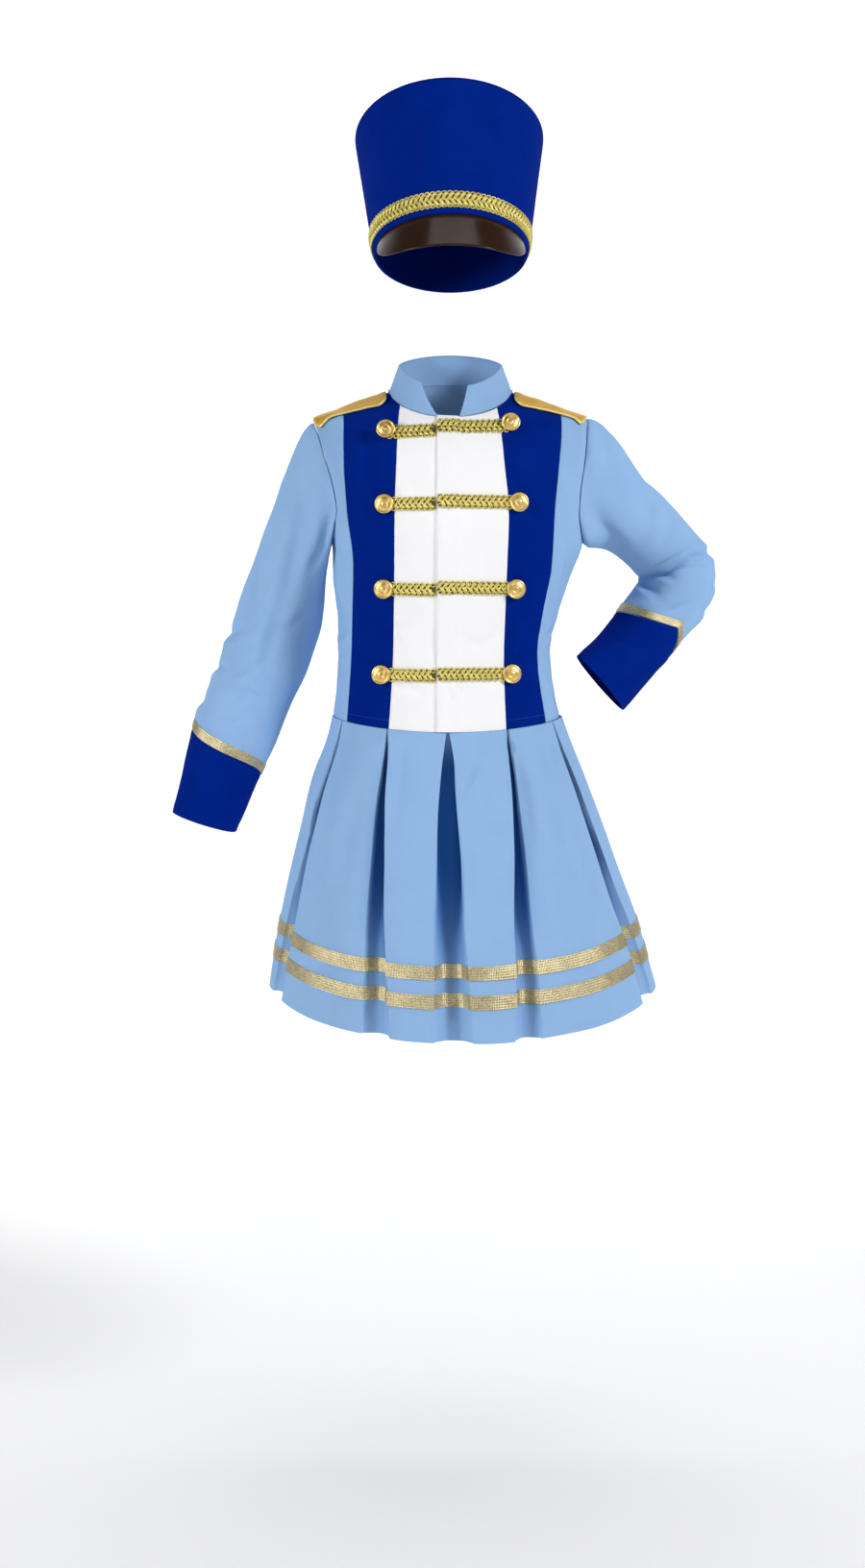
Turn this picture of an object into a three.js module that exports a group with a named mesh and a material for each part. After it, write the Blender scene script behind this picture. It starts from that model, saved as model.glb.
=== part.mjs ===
import * as THREE from 'three';

// A majorette costume for a child of about 128 cm: a dress with set in sleeves and
// a box pleated skirt, and the tall hat of the same set above it.
// Millimetres. X runs to the wearer's left, Y to the back and Z up. The origin lies
// between the two points where the shoulder seams meet the collar.
// A drop is a height counted downwards from the origin. A turn is an angle round the
// body, 0 at the front middle, 90 degrees at the wearer's left and 180 at the back.

// Cloth and trim
const CLOTH = 1.5;
const SKIRT_CLOTH = 1.0;
const SEAM_GAP = 0.3;
const TRIM_LIFT = 0.6;
const BRAID_THICK = 1.2;
const RIBBON_THICK = 0.8;
const OVERLAP_LIFT = 2.1;

// Bodice
const WAIST_DROP = 337;
const WAIST_RISE = 9;
const WAIST_HALF = 117;
const NECK_HALF = 62;
const NECK_FRONT_DROP = 27;
const NECK_FRONT_ROUND = 1.25;
const NECK_BACK_RISE = 10;
const PLACKET_X = -13.5;
const UNDERLAP_X = 2;

// Level sections of the body of the dress
const TORSO = [
  { drop: -10, middle: 0, half: 60, front: 10, back: 50, square: 2.0 },
  { drop: 0, middle: 0, half: 62, front: 14, back: 53, square: 1.8 },
  { drop: 12, middle: 0, half: 93, front: 33, back: 57, square: 1.6 },
  { drop: 20, middle: 0.3, half: 114, front: 45, back: 60, square: 1.6 },
  { drop: 30, middle: 1, half: 138.5, front: 56, back: 65, square: 1.65 },
  { drop: 60, middle: 2.5, half: 143, front: 78, back: 78, square: 2.1 },
  { drop: 100, middle: 5, half: 136.5, front: 91, back: 88, square: 2.2 },
  { drop: 148, middle: 7.4, half: 128, front: 96, back: 91, square: 2.2 },
  { drop: 189, middle: 1.1, half: 120, front: 95, back: 88, square: 2.2 },
  { drop: 224, middle: -2.7, half: 112.3, front: 92, back: 84, square: 2.2 },
  { drop: 260, middle: -6.2, half: 108.1, front: 89, back: 81, square: 2.2 },
  { drop: 295, middle: -5.5, half: 110.5, front: 89, back: 82, square: 2.2 },
  { drop: 340, middle: -3, half: 118, front: 91, back: 86, square: 2.2 },
];

// Where the seams between the front panels run
const SEAMS = [
  { drop: 0, sideRight: -109, centreRight: -49, centreLeft: 43, sideLeft: 111 },
  { drop: 30, sideRight: -107, centreRight: -52, centreLeft: 48.5, sideLeft: 111 },
  { drop: 76, sideRight: -105.8, centreRight: -53.8, centreLeft: 53, sideLeft: 107.2 },
  { drop: 120, sideRight: -103, centreRight: -55.4, centreLeft: 57, sideLeft: 103 },
  { drop: 175, sideRight: -97, centreRight: -55.8, centreLeft: 55.5, sideLeft: 100.4 },
  { drop: 220, sideRight: -98.3, centreRight: -56.4, centreLeft: 54, sideLeft: 92.6 },
  { drop: 260, sideRight: -99.5, centreRight: -57.2, centreLeft: 53, sideLeft: 87.4 },
  { drop: 340, sideRight: -105, centreRight: -62, centreLeft: 55.5, sideLeft: 97.4 },
];

// How far in the armhole is cut, as a share of the half width, from its tip to its pit
const ARMHOLE_CUT = [
  { way: 0, front: 1, back: 1 },
  { way: 0.12, front: 0.945, back: 0.95 },
  { way: 0.3, front: 0.9, back: 0.915 },
  { way: 0.55, front: 0.885, back: 0.9 },
  { way: 0.75, front: 0.893, back: 0.905 },
  { way: 0.9, front: 0.94, back: 0.945 },
  { way: 1, front: 1, back: 1 },
];

// Each sleeve: its armhole, its cuff's height at the outer point and the inner side, how
// far that point is turned to the front, how much the cuff's edge is hollowed behind it, and
// sections from shoulder to hand. A section runs from an outer point to an inner point, and
// depth is half of its width across them.
const SLEEVES = {
  right: {
    sign: -1, tipDrop: 31.5, pitDrop: 144, cut: 1, cuffOuter: 99, cuffInner: 54, apex: 0, hollow: 0,
    sections: [
      { outX: -154, outY: 3, outZ: -60, inX: -123, inY: 4, inZ: -162, depth: 45 },
      { outX: -175, outY: 8, outZ: -102, inX: -126, inY: 10, inZ: -184, depth: 42 },
      { outX: -194, outY: 15, outZ: -155, inX: -129, inY: 16, inZ: -210, depth: 41 },
      { outX: -213, outY: 20, outZ: -202, inX: -133, inY: 20, inZ: -238, depth: 41 },
      { outX: -229, outY: 18, outZ: -250, inX: -144, inY: 18, inZ: -275, depth: 41 },
      { outX: -245, outY: 12, outZ: -291, inX: -159, inY: 12, inZ: -307, depth: 40 },
      { outX: -263, outY: 2, outZ: -336, inX: -176, inY: 2, inZ: -348, depth: 39 },
      { outX: -273, outY: -8, outZ: -382, inX: -194, inY: -8, inZ: -388, depth: 37 },
      { outX: -284, outY: -20, outZ: -425, inX: -219, inY: -20, inZ: -446, depth: 33 },
    ],
  },
  left: {
    sign: 1, tipDrop: 27.5, pitDrop: 153, cut: 0.75, cuffOuter: 106, cuffInner: 84, apex: 82, hollow: 38,
    sections: [
      { outX: 151, outY: 6, outZ: -38, inX: 141, inY: 4, inZ: -156, depth: 46 },
      { outX: 179, outY: 22, outZ: -64, inX: 158, inY: 16, inZ: -159, depth: 44 },
      { outX: 218, outY: 44, outZ: -105, inX: 178, inY: 32, inZ: -170, depth: 40 },
      { outX: 252, outY: 64, outZ: -141, inX: 194, inY: 44, inZ: -183, depth: 39 },
      { outX: 269, outY: 74, outZ: -162, inX: 200, inY: 46, inZ: -188, depth: 38 },
      { outX: 275, outY: 78, outZ: -190, inX: 200, inY: 42, inZ: -194, depth: 38 },
      { outX: 267, outY: 72, outZ: -218, inX: 195, inY: 36, inZ: -201, depth: 38 },
      { outX: 247, outY: 58, outZ: -242, inX: 185, inY: 26, inZ: -213, depth: 38 },
      { outX: 233, outY: 46, outZ: -255, inX: 171, inY: 14, inZ: -232, depth: 37 },
      { outX: 205, outY: 18, outZ: -290, inX: 151, inY: -4, inZ: -250, depth: 36 },
      { outX: 176, outY: -8, outZ: -322, inX: 129, inY: -18, inZ: -266, depth: 33 },
    ],
  },
};
const SLEEVE_ROUND = 18;
const SLEEVE_ROWS = [0, 0.02, 0.06, 0.12, 0.19, 0.27, 0.36, 0.45, 0.54, 0.63, 0.72, 0.81, 0.9, 1];
const CAP_LENGTH = 110;
const CAP_PUFF = { high: 6.5, rise: 5, end: 70 };
const CUFF_RIBBON = 10;
const DEPTH_LEAN = 0.15;
const ARMHOLE_GAP = 0.5;

// Collar
const COLLAR_LIFT = 0.8;
const COLLAR_TOP = { half: 52, front: 48, back: 45, sideZ: 27, frontZ: 2, backZ: 39 };
const COLLAR_ENDS = { rightFoot: -12.1, rightTop: -35.8, leftFoot: 8, leftTop: 19.3 };

// Shoulder tabs
const TAB = {
  neck: 64, tip: 136, hollow: 7, round: 10, front: 26, tipFront: 18, back: 23, tipBack: 17,
  lift: 1.3, thick: 2.2,
};

// Buttons and braid: the middle of each button, and the braid's height at the placket
const FASTENINGS = [
  { rightX: -62.9, rightDrop: 43.3, rightEnd: 41, leftX: 58.2, leftDrop: 36.7, leftEnd: 38 },
  { rightX: -64.1, rightDrop: 112.9, rightEnd: 112.5, leftX: 65.8, leftDrop: 111.5, leftEnd: 110 },
  { rightX: -64.7, rightDrop: 195.8, rightEnd: 196.5, leftX: 62.7, leftDrop: 195.4, leftEnd: 194 },
  { rightX: -67.4, rightDrop: 280.7, rightEnd: 281, leftX: 58.9, leftDrop: 280.2, leftEnd: 279.5 },
];
const BRAID_WIDE = 12;
const BUTTON_RADIUS = 9.5;
// A button hangs on its shank, so it faces further to the front than the cloth does
const BUTTON_FACING = 0.5;
// How far each row's buttons stand off by their tilt, for the edge that dips beside the braid
const BUTTON_SEAT = [0.9, 0.5, 0.5, 0.5];
const BUTTON = [
  [0, 0], [8.2, 0], [9.5, 1], [9.5, 2.2], [8.6, 3.2], [7.6, 2.8], [6, 3.6], [3, 4.3], [0, 4.5],
];

// The skirt's outline at levels from waist (0) to hem (1)
const SKIRT = [
  { level: 0, middle: -3, half: 117.6, front: 90.6, back: 85.6 },
  { level: 0.08, middle: -1.7, half: 124, front: 98, back: 92 },
  { level: 0.25, middle: -0.7, half: 141, front: 116, back: 106 },
  { level: 0.43, middle: 2.3, half: 156.3, front: 134, back: 121 },
  { level: 0.61, middle: 4.9, half: 171, front: 151, back: 136 },
  { level: 0.785, middle: 9.4, half: 184.9, front: 167, back: 150 },
  { level: 1, middle: 13.9, half: 199, front: 184, back: 165 },
];
const HEM = { sideDrop: 604, frontDip: 26, backDip: 4 };

// The gaps between the box pleats, in degrees round the skirt: the turn at the waist, the
// turn at the hem, half of the opening there, and the depth of the fold there
const PLEATS = [
  { waist: 0, hem: -3.4, open: 5.6, deep: 15 },
  { waist: 28.5, hem: 18, open: 4.2, deep: 14 },
  { waist: 63, hem: 70, open: 5, deep: 12 },
  { waist: 90, hem: 94, open: 5, deep: 13 },
  { waist: 117, hem: 119, open: 5.5, deep: 15 },
  { waist: 151, hem: 149, open: 5.5, deep: 14 },
  { waist: 180, hem: 178, open: 6, deep: 15 },
  { waist: 209, hem: 207, open: 5.5, deep: 15 },
  { waist: 243, hem: 240, open: 5.5, deep: 14 },
  { waist: 270, hem: 265, open: 5, deep: 13 },
  { waist: 297, hem: 287, open: 5, deep: 12 },
  { waist: 331.5, hem: 333.8, open: 4.6, deep: 14 },
];
// How a fold changes from waist to hem: the share of its opening, the depth of the
// cloth behind it, and how far that cloth runs on behind the panel
const FOLDS = [
  { level: 0, open: 0.08, deep: 3, tuck: 13.5 },
  { level: 0.12, open: 0.42, deep: 12, tuck: 9 },
  { level: 0.28, open: 0.6, deep: 19, tuck: 5 },
  { level: 0.45, open: 0.72, deep: 22, tuck: 1 },
  { level: 0.6, open: 0.81, deep: 21, tuck: -3 },
  { level: 0.75, open: 0.88, deep: 16.5, tuck: -5.5 },
  { level: 1, open: 1, deep: 15, tuck: -8 },
];
const FOLD_LAYER = 2.4;
const SIDE_SEAM_FOLDS = [3, 9];
const HEM_RIBBONS = [
  { name: 'upper', above: 56 },
  { name: 'lower', above: 30 },
];
const HEM_RIBBON_WIDE = 12.5;
const HEM_RIBBON_LIFT = 1.05;

// Hat: its foot and its crown, each a tilted oval
const HAT_FOOT = { x: 0.3, y: 2, z: 136, half: 78, long: 93, tilt: 19 };
const HAT_CROWN = { x: -1, y: 40, z: 251, half: 95.5, long: 110, tilt: 24.5 };
const HAT_WALL = 3;
const HAT_ROUND = 32;
const HAT_BRAID = { from: 6, wide: 15 };
const CROWN_THICK = 2.5;
const VISOR = { turn: 66, wide: 44, droop: 62, thick: 1.3, setIn: 1.2, taper: 5 };

const LIGHT_BLUE = { color: 0x6ea3e6, roughness: 0.85, metalness: 0 };
const ROYAL_BLUE = { color: 0x08238c, roughness: 0.85, metalness: 0 };
const WHITE = { color: 0xf4f4fa, roughness: 0.85, metalness: 0 };
const GOLD_BRAID = { color: 0xc8aa3c, roughness: 0.45, metalness: 0.6 };
const GOLD_RIBBON = { color: 0xb4a064, roughness: 0.4, metalness: 0.7 };
const GOLD_SATIN = { color: 0xe6b950, roughness: 0.4, metalness: 0.3 };
const GOLD_PLATE = { color: 0xe0a840, roughness: 0.3, metalness: 1 };
const PATENT = { color: 0x1c1210, roughness: 0.12, metalness: 0 };

const costume = new THREE.Group();

// Number helpers
const lerp = THREE.MathUtils.lerp;
const clamp = THREE.MathUtils.clamp;
const radians = THREE.MathUtils.degToRad;

function steps(count) {
  return Array.from({ length: count + 1 }, (_, i) => i / count);
}

function power(value, exponent) {
  return Math.sign(value) * Math.abs(value) ** exponent;
}

// Slopes for a smooth curve that never swings past its rows
function slopesOf(places, values) {
  const last = places.length - 1;
  const chord = (i) => (values[i + 1] - values[i]) / (places[i + 1] - places[i]);
  return places.map((_, i) => {
    if (i === 0) return chord(0);
    if (i === last) return chord(last - 1);
    const before = chord(i - 1);
    const after = chord(i);
    return before * after <= 0 ? 0 : (2 * before * after) / (before + after);
  });
}

// Reads all columns of a table at a place along its key column
function reader(rows, key) {
  const places = rows.map((row) => row[key]);
  const names = Object.keys(rows[0]).filter((name) => name !== key);
  const slopes = {};
  for (const name of names) slopes[name] = slopesOf(places, rows.map((row) => row[name]));
  return (place) => {
    let i = 0;
    while (i < places.length - 2 && place > places[i + 1]) i += 1;
    const span = places[i + 1] - places[i];
    const t = clamp((place - places[i]) / span, 0, 1);
    const read = {};
    for (const name of names) {
      read[name] =
        (2 * t ** 3 - 3 * t ** 2 + 1) * rows[i][name] +
        (t ** 3 - 2 * t ** 2 + t) * span * slopes[name][i] +
        (3 * t ** 2 - 2 * t ** 3) * rows[i + 1][name] +
        (t ** 3 - t ** 2) * span * slopes[name][i + 1];
    }
    return read;
  };
}

// A closed wall between an outer and an inner grid of points. A ring joins its last
// column to its first; a strip has an edge at each end.
function wall(outer, inner, ring) {
  const columns = outer.length;
  const rows = outer[0].length;
  const positions = [];
  const index = [];
  for (const grid of [outer, inner]) {
    for (const column of grid) {
      for (const point of column) positions.push(point.x, point.y, point.z);
    }
  }
  const out = (i, j) => (i % columns) * rows + j;
  const inn = (i, j) => columns * rows + out(i, j);
  const quad = (a, b, c, d) => index.push(a, b, c, a, c, d);
  const spans = ring ? columns : columns - 1;
  for (let i = 0; i < spans; i += 1) {
    for (let j = 0; j < rows - 1; j += 1) {
      quad(out(i, j), out(i, j + 1), out(i + 1, j + 1), out(i + 1, j));
      quad(inn(i, j), inn(i + 1, j), inn(i + 1, j + 1), inn(i, j + 1));
    }
    quad(out(i, 0), out(i + 1, 0), inn(i + 1, 0), inn(i, 0));
    quad(out(i + 1, rows - 1), out(i, rows - 1), inn(i, rows - 1), inn(i + 1, rows - 1));
  }
  if (!ring) {
    for (let j = 0; j < rows - 1; j += 1) {
      quad(out(0, j + 1), out(0, j), inn(0, j), inn(0, j + 1));
      quad(out(columns - 1, j), out(columns - 1, j + 1), inn(columns - 1, j + 1), inn(columns - 1, j));
    }
  }
  const geometry = new THREE.BufferGeometry();
  geometry.setAttribute('position', new THREE.Float32BufferAttribute(positions, 3));
  geometry.setIndex(insideOut(positions, index) ? index.reverse() : index);
  return geometry;
}

// True when a closed mesh encloses a negative volume
function insideOut(positions, index) {
  let volume = 0;
  const corner = (k) => new THREE.Vector3().fromArray(positions, index[k] * 3);
  for (let k = 0; k < index.length; k += 3) {
    volume += corner(k).dot(corner(k + 1).cross(corner(k + 2)));
  }
  return volume < 0;
}

function addPiece(name, geometry, finish) {
  const mesh = new THREE.Mesh(geometry, new THREE.MeshStandardMaterial(finish));
  mesh.name = name;
  costume.add(mesh);
  return mesh;
}

// Unit normal of a surface of turn and drop, facing away from the body
function normalOf(surface, u, v) {
  const step = 0.01;
  const across = surface(u + step, v).sub(surface(u - step, v));
  const down = surface(u, v + step * 20).sub(surface(u, v - step * 20));
  return down.cross(across).normalize();
}

// A wall whose outer face is the surface lifted along its normal
function lay(surface, places, { lift = () => 0, thick = CLOTH, shiftY = 0, ring = false } = {}) {
  const moved = (depth) => places.map((column) => column.map(([u, v]) => {
    const point = surface(u, v).addScaledVector(normalOf(surface, u, v), lift(u, v) - depth);
    point.y += shiftY;
    return point;
  }));
  return wall(moved(0), moved(thick), ring);
}

// The body of the dress
const torsoAt = reader(TORSO, 'drop');
const seamAt = reader(SEAMS, 'drop');
const cutAt = reader(ARMHOLE_CUT, 'way');

function body(turn, drop) {
  const { middle, half, front, back, square } = torsoAt(drop);
  const sine = Math.sin(turn);
  const cosine = Math.cos(turn);
  const deep = cosine > 0 ? front : back;
  return new THREE.Vector3(
    middle + half * power(sine, 2 / square),
    -deep * power(cosine, 2 / square),
    -drop,
  );
}

// The turn at which a level section of the front crosses x
function turnAt(x, drop) {
  const { middle, half, square } = torsoAt(drop);
  return Math.asin(power(clamp((x - middle) / half, -1, 1), square / 2));
}

function waistDrop(x) {
  return WAIST_DROP - WAIST_RISE * (x / WAIST_HALF) ** 2;
}

// The neckline as a drop, from a turn round the neck
function neckDrop(turn) {
  const cosine = Math.cos(turn);
  if (cosine > 0) return NECK_FRONT_DROP * cosine ** NECK_FRONT_ROUND;
  return NECK_BACK_RISE * cosine;
}

// The drop of the panels' upper edge at x: the neckline, or the shoulder line outside it
function topDrop(x) {
  if (Math.abs(x) < NECK_HALF) return neckDrop(Math.asin(x / NECK_HALF));
  return shoulderDrop(x, 0);
}

// The drop at which the shoulder reaches y behind (or, below zero, before) its ridge
function shoulderDrop(x, y) {
  let high = -5;
  let low = 90;
  for (let k = 0; k < 40; k += 1) {
    const drop = (high + low) / 2;
    const { middle, half, front, back, square } = torsoAt(drop);
    const share = Math.min(Math.abs(x - middle) / half, 1);
    const reach = (y < 0 ? front : back) * (1 - share ** square) ** (1 / square);
    if (share < 1 && reach > Math.abs(y)) low = drop;
    else high = drop;
  }
  return (high + low) / 2;
}

function armhole(side, angle) {
  const { sign, tipDrop, pitDrop, cut } = SLEEVES[side];
  const way = (1 - Math.cos(angle)) / 2;
  const drop = lerp(tipDrop, pitDrop, way);
  const inFront = Math.sin(angle) > 0;
  const share = 1 - (1 - cutAt(way)[inFront ? 'front' : 'back']) * cut;
  const turn = Math.asin(share ** (torsoAt(drop).square / 2));
  return { turn: sign * (inFront ? turn : Math.PI - turn), drop };
}

// Rows of the pieces that the armhole cuts: above it, along it, and down to the waist
const ARMHOLE_ROWS = steps(SLEEVE_ROUND / 2).map((way) => way * Math.PI);
const LOWER_ROWS = [0.12, 0.26, 0.42, 0.6, 0.8, 1];

function sideEnds(side) {
  const { sign, tipDrop, pitDrop } = SLEEVES[side];
  const seamName = side === 'right' ? 'sideRight' : 'sideLeft';
  const turn = (sign * Math.PI) / 2;
  const start = shoulderDrop(seamAt(20)[seamName], 0) + 1.5;
  return [
    { drop: start, turn },
    { drop: lerp(start, tipDrop, 0.5), turn },
    ...ARMHOLE_ROWS.map((angle) => armhole(side, angle)),
    ...LOWER_ROWS.map((share) => ({ drop: lerp(pitDrop, WAIST_DROP, share), turn })),
  ];
}

// Front panels that run from neckline or shoulder down to the waist, column by column
function frontPanel(name, finish, side, shares, edges, options) {
  const ends = sideEnds(side);
  const rows = ends.map((end) => (end.drop - ends[0].drop) / (WAIST_DROP - ends[0].drop));
  const columns = shares.map((share) => {
    const xAt = (drop) => {
      const { from, to } = edges(seamAt(drop));
      return lerp(from + SEAM_GAP / 2, to - SEAM_GAP / 2, share);
    };
    const start = topDrop(xAt(10)) + 0.2;
    return rows.map((row) => {
      const level = lerp(start, WAIST_DROP, row);
      const drop = levelled(level, xAt(level));
      return [turnAt(xAt(drop), drop), drop];
    });
  });
  addPiece(name, lay(body, columns, { shiftY: -SEAM_GAP / 2, ...options }), finish);
}

// The left centre front is raised where it laps over the right one
function overlapLift(x) {
  return OVERLAP_LIFT * (1 - THREE.MathUtils.smoothstep(x, 4, 12));
}

function addFront() {
  frontPanel('bodice_front_centre_right', WHITE, 'right', steps(4),
    (seam) => ({ from: seam.centreRight, to: UNDERLAP_X }));
  frontPanel('bodice_front_centre_left', WHITE, 'left', [0, 0.25, 0.375, 0.6, 0.8, 1],
    (seam) => ({ from: PLACKET_X, to: seam.centreLeft }),
    { lift: (turn, drop) => overlapLift(body(turn, drop).x) });
  frontPanel('bodice_front_side_right', ROYAL_BLUE, 'right', [0, 0.2, 0.4, 0.6, 0.82, 1],
    (seam) => ({ from: seam.sideRight, to: seam.centreRight }));
  frontPanel('bodice_front_side_left', ROYAL_BLUE, 'left', [0, 0.18, 0.4, 0.6, 0.8, 1],
    (seam) => ({ from: seam.centreLeft, to: seam.sideLeft }));
}

function levelled(drop, x) {
  const share = clamp((drop - 200) / (WAIST_DROP - 200), 0, 1);
  return drop + (waistDrop(x) - WAIST_DROP) * share;
}

function addSide(side) {
  const { sign } = SLEEVES[side];
  const seamName = side === 'right' ? 'sideRight' : 'sideLeft';
  const seamX = (drop) => seamAt(drop)[seamName] + (sign * SEAM_GAP) / 2;
  const ends = sideEnds(side);
  const columns = steps(4).map((share) => ends.map((end) => {
    const seamDrop = levelled(end.drop, seamX(end.drop));
    const turn = lerp(turnAt(seamX(seamDrop), seamDrop), end.turn, share);
    return [turn, levelled(end.drop, body(turn, end.drop).x)];
  }));
  addPiece(`bodice_side_${side}`, lay(body, columns, { shiftY: -SEAM_GAP / 2 }), LIGHT_BLUE);
}

function backEnds(side) {
  const { sign, tipDrop, pitDrop } = SLEEVES[side];
  const ends = [166, 150, 135, 120, 105, 90].map((turn) => {
    const drop = neckDrop(radians(turn));
    const across = Math.asin(power((NECK_HALF * Math.sin(radians(turn))) / torsoAt(drop).half,
      torsoAt(drop).square / 2));
    return { drop: drop + 0.2, turn: sign * (Math.PI - across) };
  });
  for (const share of [0.25, 0.5, 0.75]) {
    ends.push({ drop: lerp(0.2, tipDrop, share), turn: (sign * Math.PI) / 2 });
  }
  ends.push(...ARMHOLE_ROWS.map((angle) => armhole(side, -angle)));
  ends[9].turn = (sign * Math.PI) / 2;
  ends[ends.length - 1].turn = (sign * Math.PI) / 2;
  for (const share of LOWER_ROWS) {
    ends.push({ drop: lerp(pitDrop, WAIST_DROP, share), turn: (sign * Math.PI) / 2 });
  }
  return ends;
}

function addBack() {
  const left = backEnds('left');
  const right = backEnds('right');
  const columns = steps(14).map((share) => left.map((end, j) => {
    const turn = lerp(end.turn, right[j].turn + 2 * Math.PI, share);
    const drop = lerp(end.drop, right[j].drop, share);
    return [turn, levelled(drop, body(turn, drop).x)];
  }));
  addPiece('bodice_back', lay(body, columns, { shiftY: SEAM_GAP / 2 }), LIGHT_BLUE);
}

// Stand collar, from the foot on the neckline to the edge that leans in
function collarSurface(turn, height) {
  const drop = neckDrop(turn);
  const { half, front, back, square } = torsoAt(drop);
  const x = NECK_HALF * Math.sin(turn);
  const share = Math.min(Math.abs(x) / half, 1);
  const deep = Math.cos(turn) > 0 ? -front : back;
  const foot = new THREE.Vector3(x, deep * (1 - share ** square) ** (1 / square), COLLAR_LIFT - drop);
  const cosine = Math.cos(turn);
  const inFront = cosine > 0;
  const topZ = lerp(COLLAR_TOP.sideZ, inFront ? COLLAR_TOP.frontZ : COLLAR_TOP.backZ,
    Math.abs(cosine) ** NECK_FRONT_ROUND);
  const top = new THREE.Vector3(
    COLLAR_TOP.half * Math.sin(turn),
    -(inFront ? COLLAR_TOP.front : COLLAR_TOP.back) * cosine,
    topZ,
  );
  return foot.lerp(top, height);
}

function addCollar() {
  const surface = (turn, down) => collarSurface(turn, 1 - down);
  const columns = steps(24).map((share) => [0, 0.5, 1].map((down) => {
    const from = lerp(COLLAR_ENDS.leftTop, COLLAR_ENDS.leftFoot, down);
    const to = lerp(COLLAR_ENDS.rightTop, COLLAR_ENDS.rightFoot, down) + 360;
    return [radians(lerp(from, to, share)), down];
  }));
  const normalAt = (turn, down) => {
    const across = surface(turn + 0.02, down).sub(surface(turn - 0.02, down));
    const fall = surface(turn, 1).sub(surface(turn, 0));
    return fall.cross(across).normalize();
  };
  const moved = (depth) => columns.map((column) => column.map(([turn, down]) =>
    surface(turn, down).addScaledVector(normalAt(turn, down), -depth)));
  addPiece('collar', wall(moved(0), moved(CLOTH), false), LIGHT_BLUE);
}

// Sleeves
function newell(points) {
  const sum = new THREE.Vector3();
  points.forEach((point, i) => sum.add(point.clone().cross(points[(i + 1) % points.length])));
  return sum.normalize();
}

function centreOf(points) {
  const sum = new THREE.Vector3();
  for (const point of points) sum.add(point);
  return sum.divideScalar(points.length);
}

// Moves each point of a ring outwards, within the plane of the ring
function spread(ring, distance) {
  const axis = newell(ring);
  const centre = centreOf(ring);
  return ring.map((point, i) => {
    const next = ring[(i + 1) % ring.length];
    const before = ring[(i + ring.length - 1) % ring.length];
    const out = next.clone().sub(before).cross(axis).normalize();
    if (out.dot(point.clone().sub(centre)) < 0) out.negate();
    return point.clone().addScaledVector(out, distance);
  });
}

// A sleeve as a function of the angle round the arm and the length along it
function sleeveSurface(side) {
  const { sign, sections } = SLEEVES[side];
  const armholePoint = (angle) => {
    const { turn, drop } = armhole(side, angle);
    const point = body(turn, drop);
    point.x += sign * ARMHOLE_GAP;
    return point;
  };
  const tip = armholePoint(0);
  const pit = armholePoint(Math.PI);
  const rows = [
    { outX: tip.x, outY: 0, outZ: tip.z, inX: pit.x, inY: 0, inZ: pit.z, depth: 47 },
    ...sections,
  ].map((row) => ({ along: 0, ...row }));
  const middle = (row) => new THREE.Vector3(
    (row.outX + row.inX) / 2, (row.outY + row.inY) / 2, (row.outZ + row.inZ) / 2,
  );
  for (let k = 1; k < rows.length; k += 1) {
    rows[k].along = rows[k - 1].along + middle(rows[k]).distanceTo(middle(rows[k - 1]));
  }
  const at = reader(rows, 'along');
  const length = rows[rows.length - 1].along;
  const oval = (angle, along) => {
    const row = at(along);
    const span = new THREE.Vector3(row.outX - row.inX, row.outY - row.inY, row.outZ - row.inZ);
    const axis = middle(at(Math.min(along + 8, length))).sub(middle(at(Math.max(along - 8, 0))));
    axis.y *= DEPTH_LEAN;
    const deep = span.clone().cross(axis).normalize().multiplyScalar(-sign * row.depth);
    return middle(row)
      .addScaledVector(span, Math.cos(angle) / 2)
      .addScaledVector(deep, Math.sin(angle));
  };
  const surface = (angle, along) => {
    const fade = 1 - THREE.MathUtils.smoothstep(along, 0, CAP_LENGTH);
    const cap = armholePoint(angle).sub(oval(angle, 0));
    const puff = CAP_PUFF.high * Math.max(Math.cos(angle), 0) ** 0.7 *
      (1 - Math.exp(-along / CAP_PUFF.rise)) *
      (1 - THREE.MathUtils.smoothstep(along, CAP_PUFF.rise, CAP_PUFF.end));
    return oval(angle, along)
      .addScaledVector(cap, fade)
      .add(new THREE.Vector3(sign * puff * 0.6, 0, puff * 0.8));
  };
  return { surface, length };
}

function tube(surface, lengths, lift, thick) {
  const angles = steps(SLEEVE_ROUND).slice(0, -1).map((share) => share * 2 * Math.PI);
  const rings = lengths.map((lengthAt) => angles.map((angle) => surface(angle, lengthAt(angle))));
  const columnsOf = (moved) => angles.map((_, i) => moved.map((ring) => ring[i]));
  const outer = columnsOf(rings.map((ring) => spread(ring, lift)));
  const inner = columnsOf(rings.map((ring) => spread(ring, lift - thick)));
  return wall(outer, inner, true);
}

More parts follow.
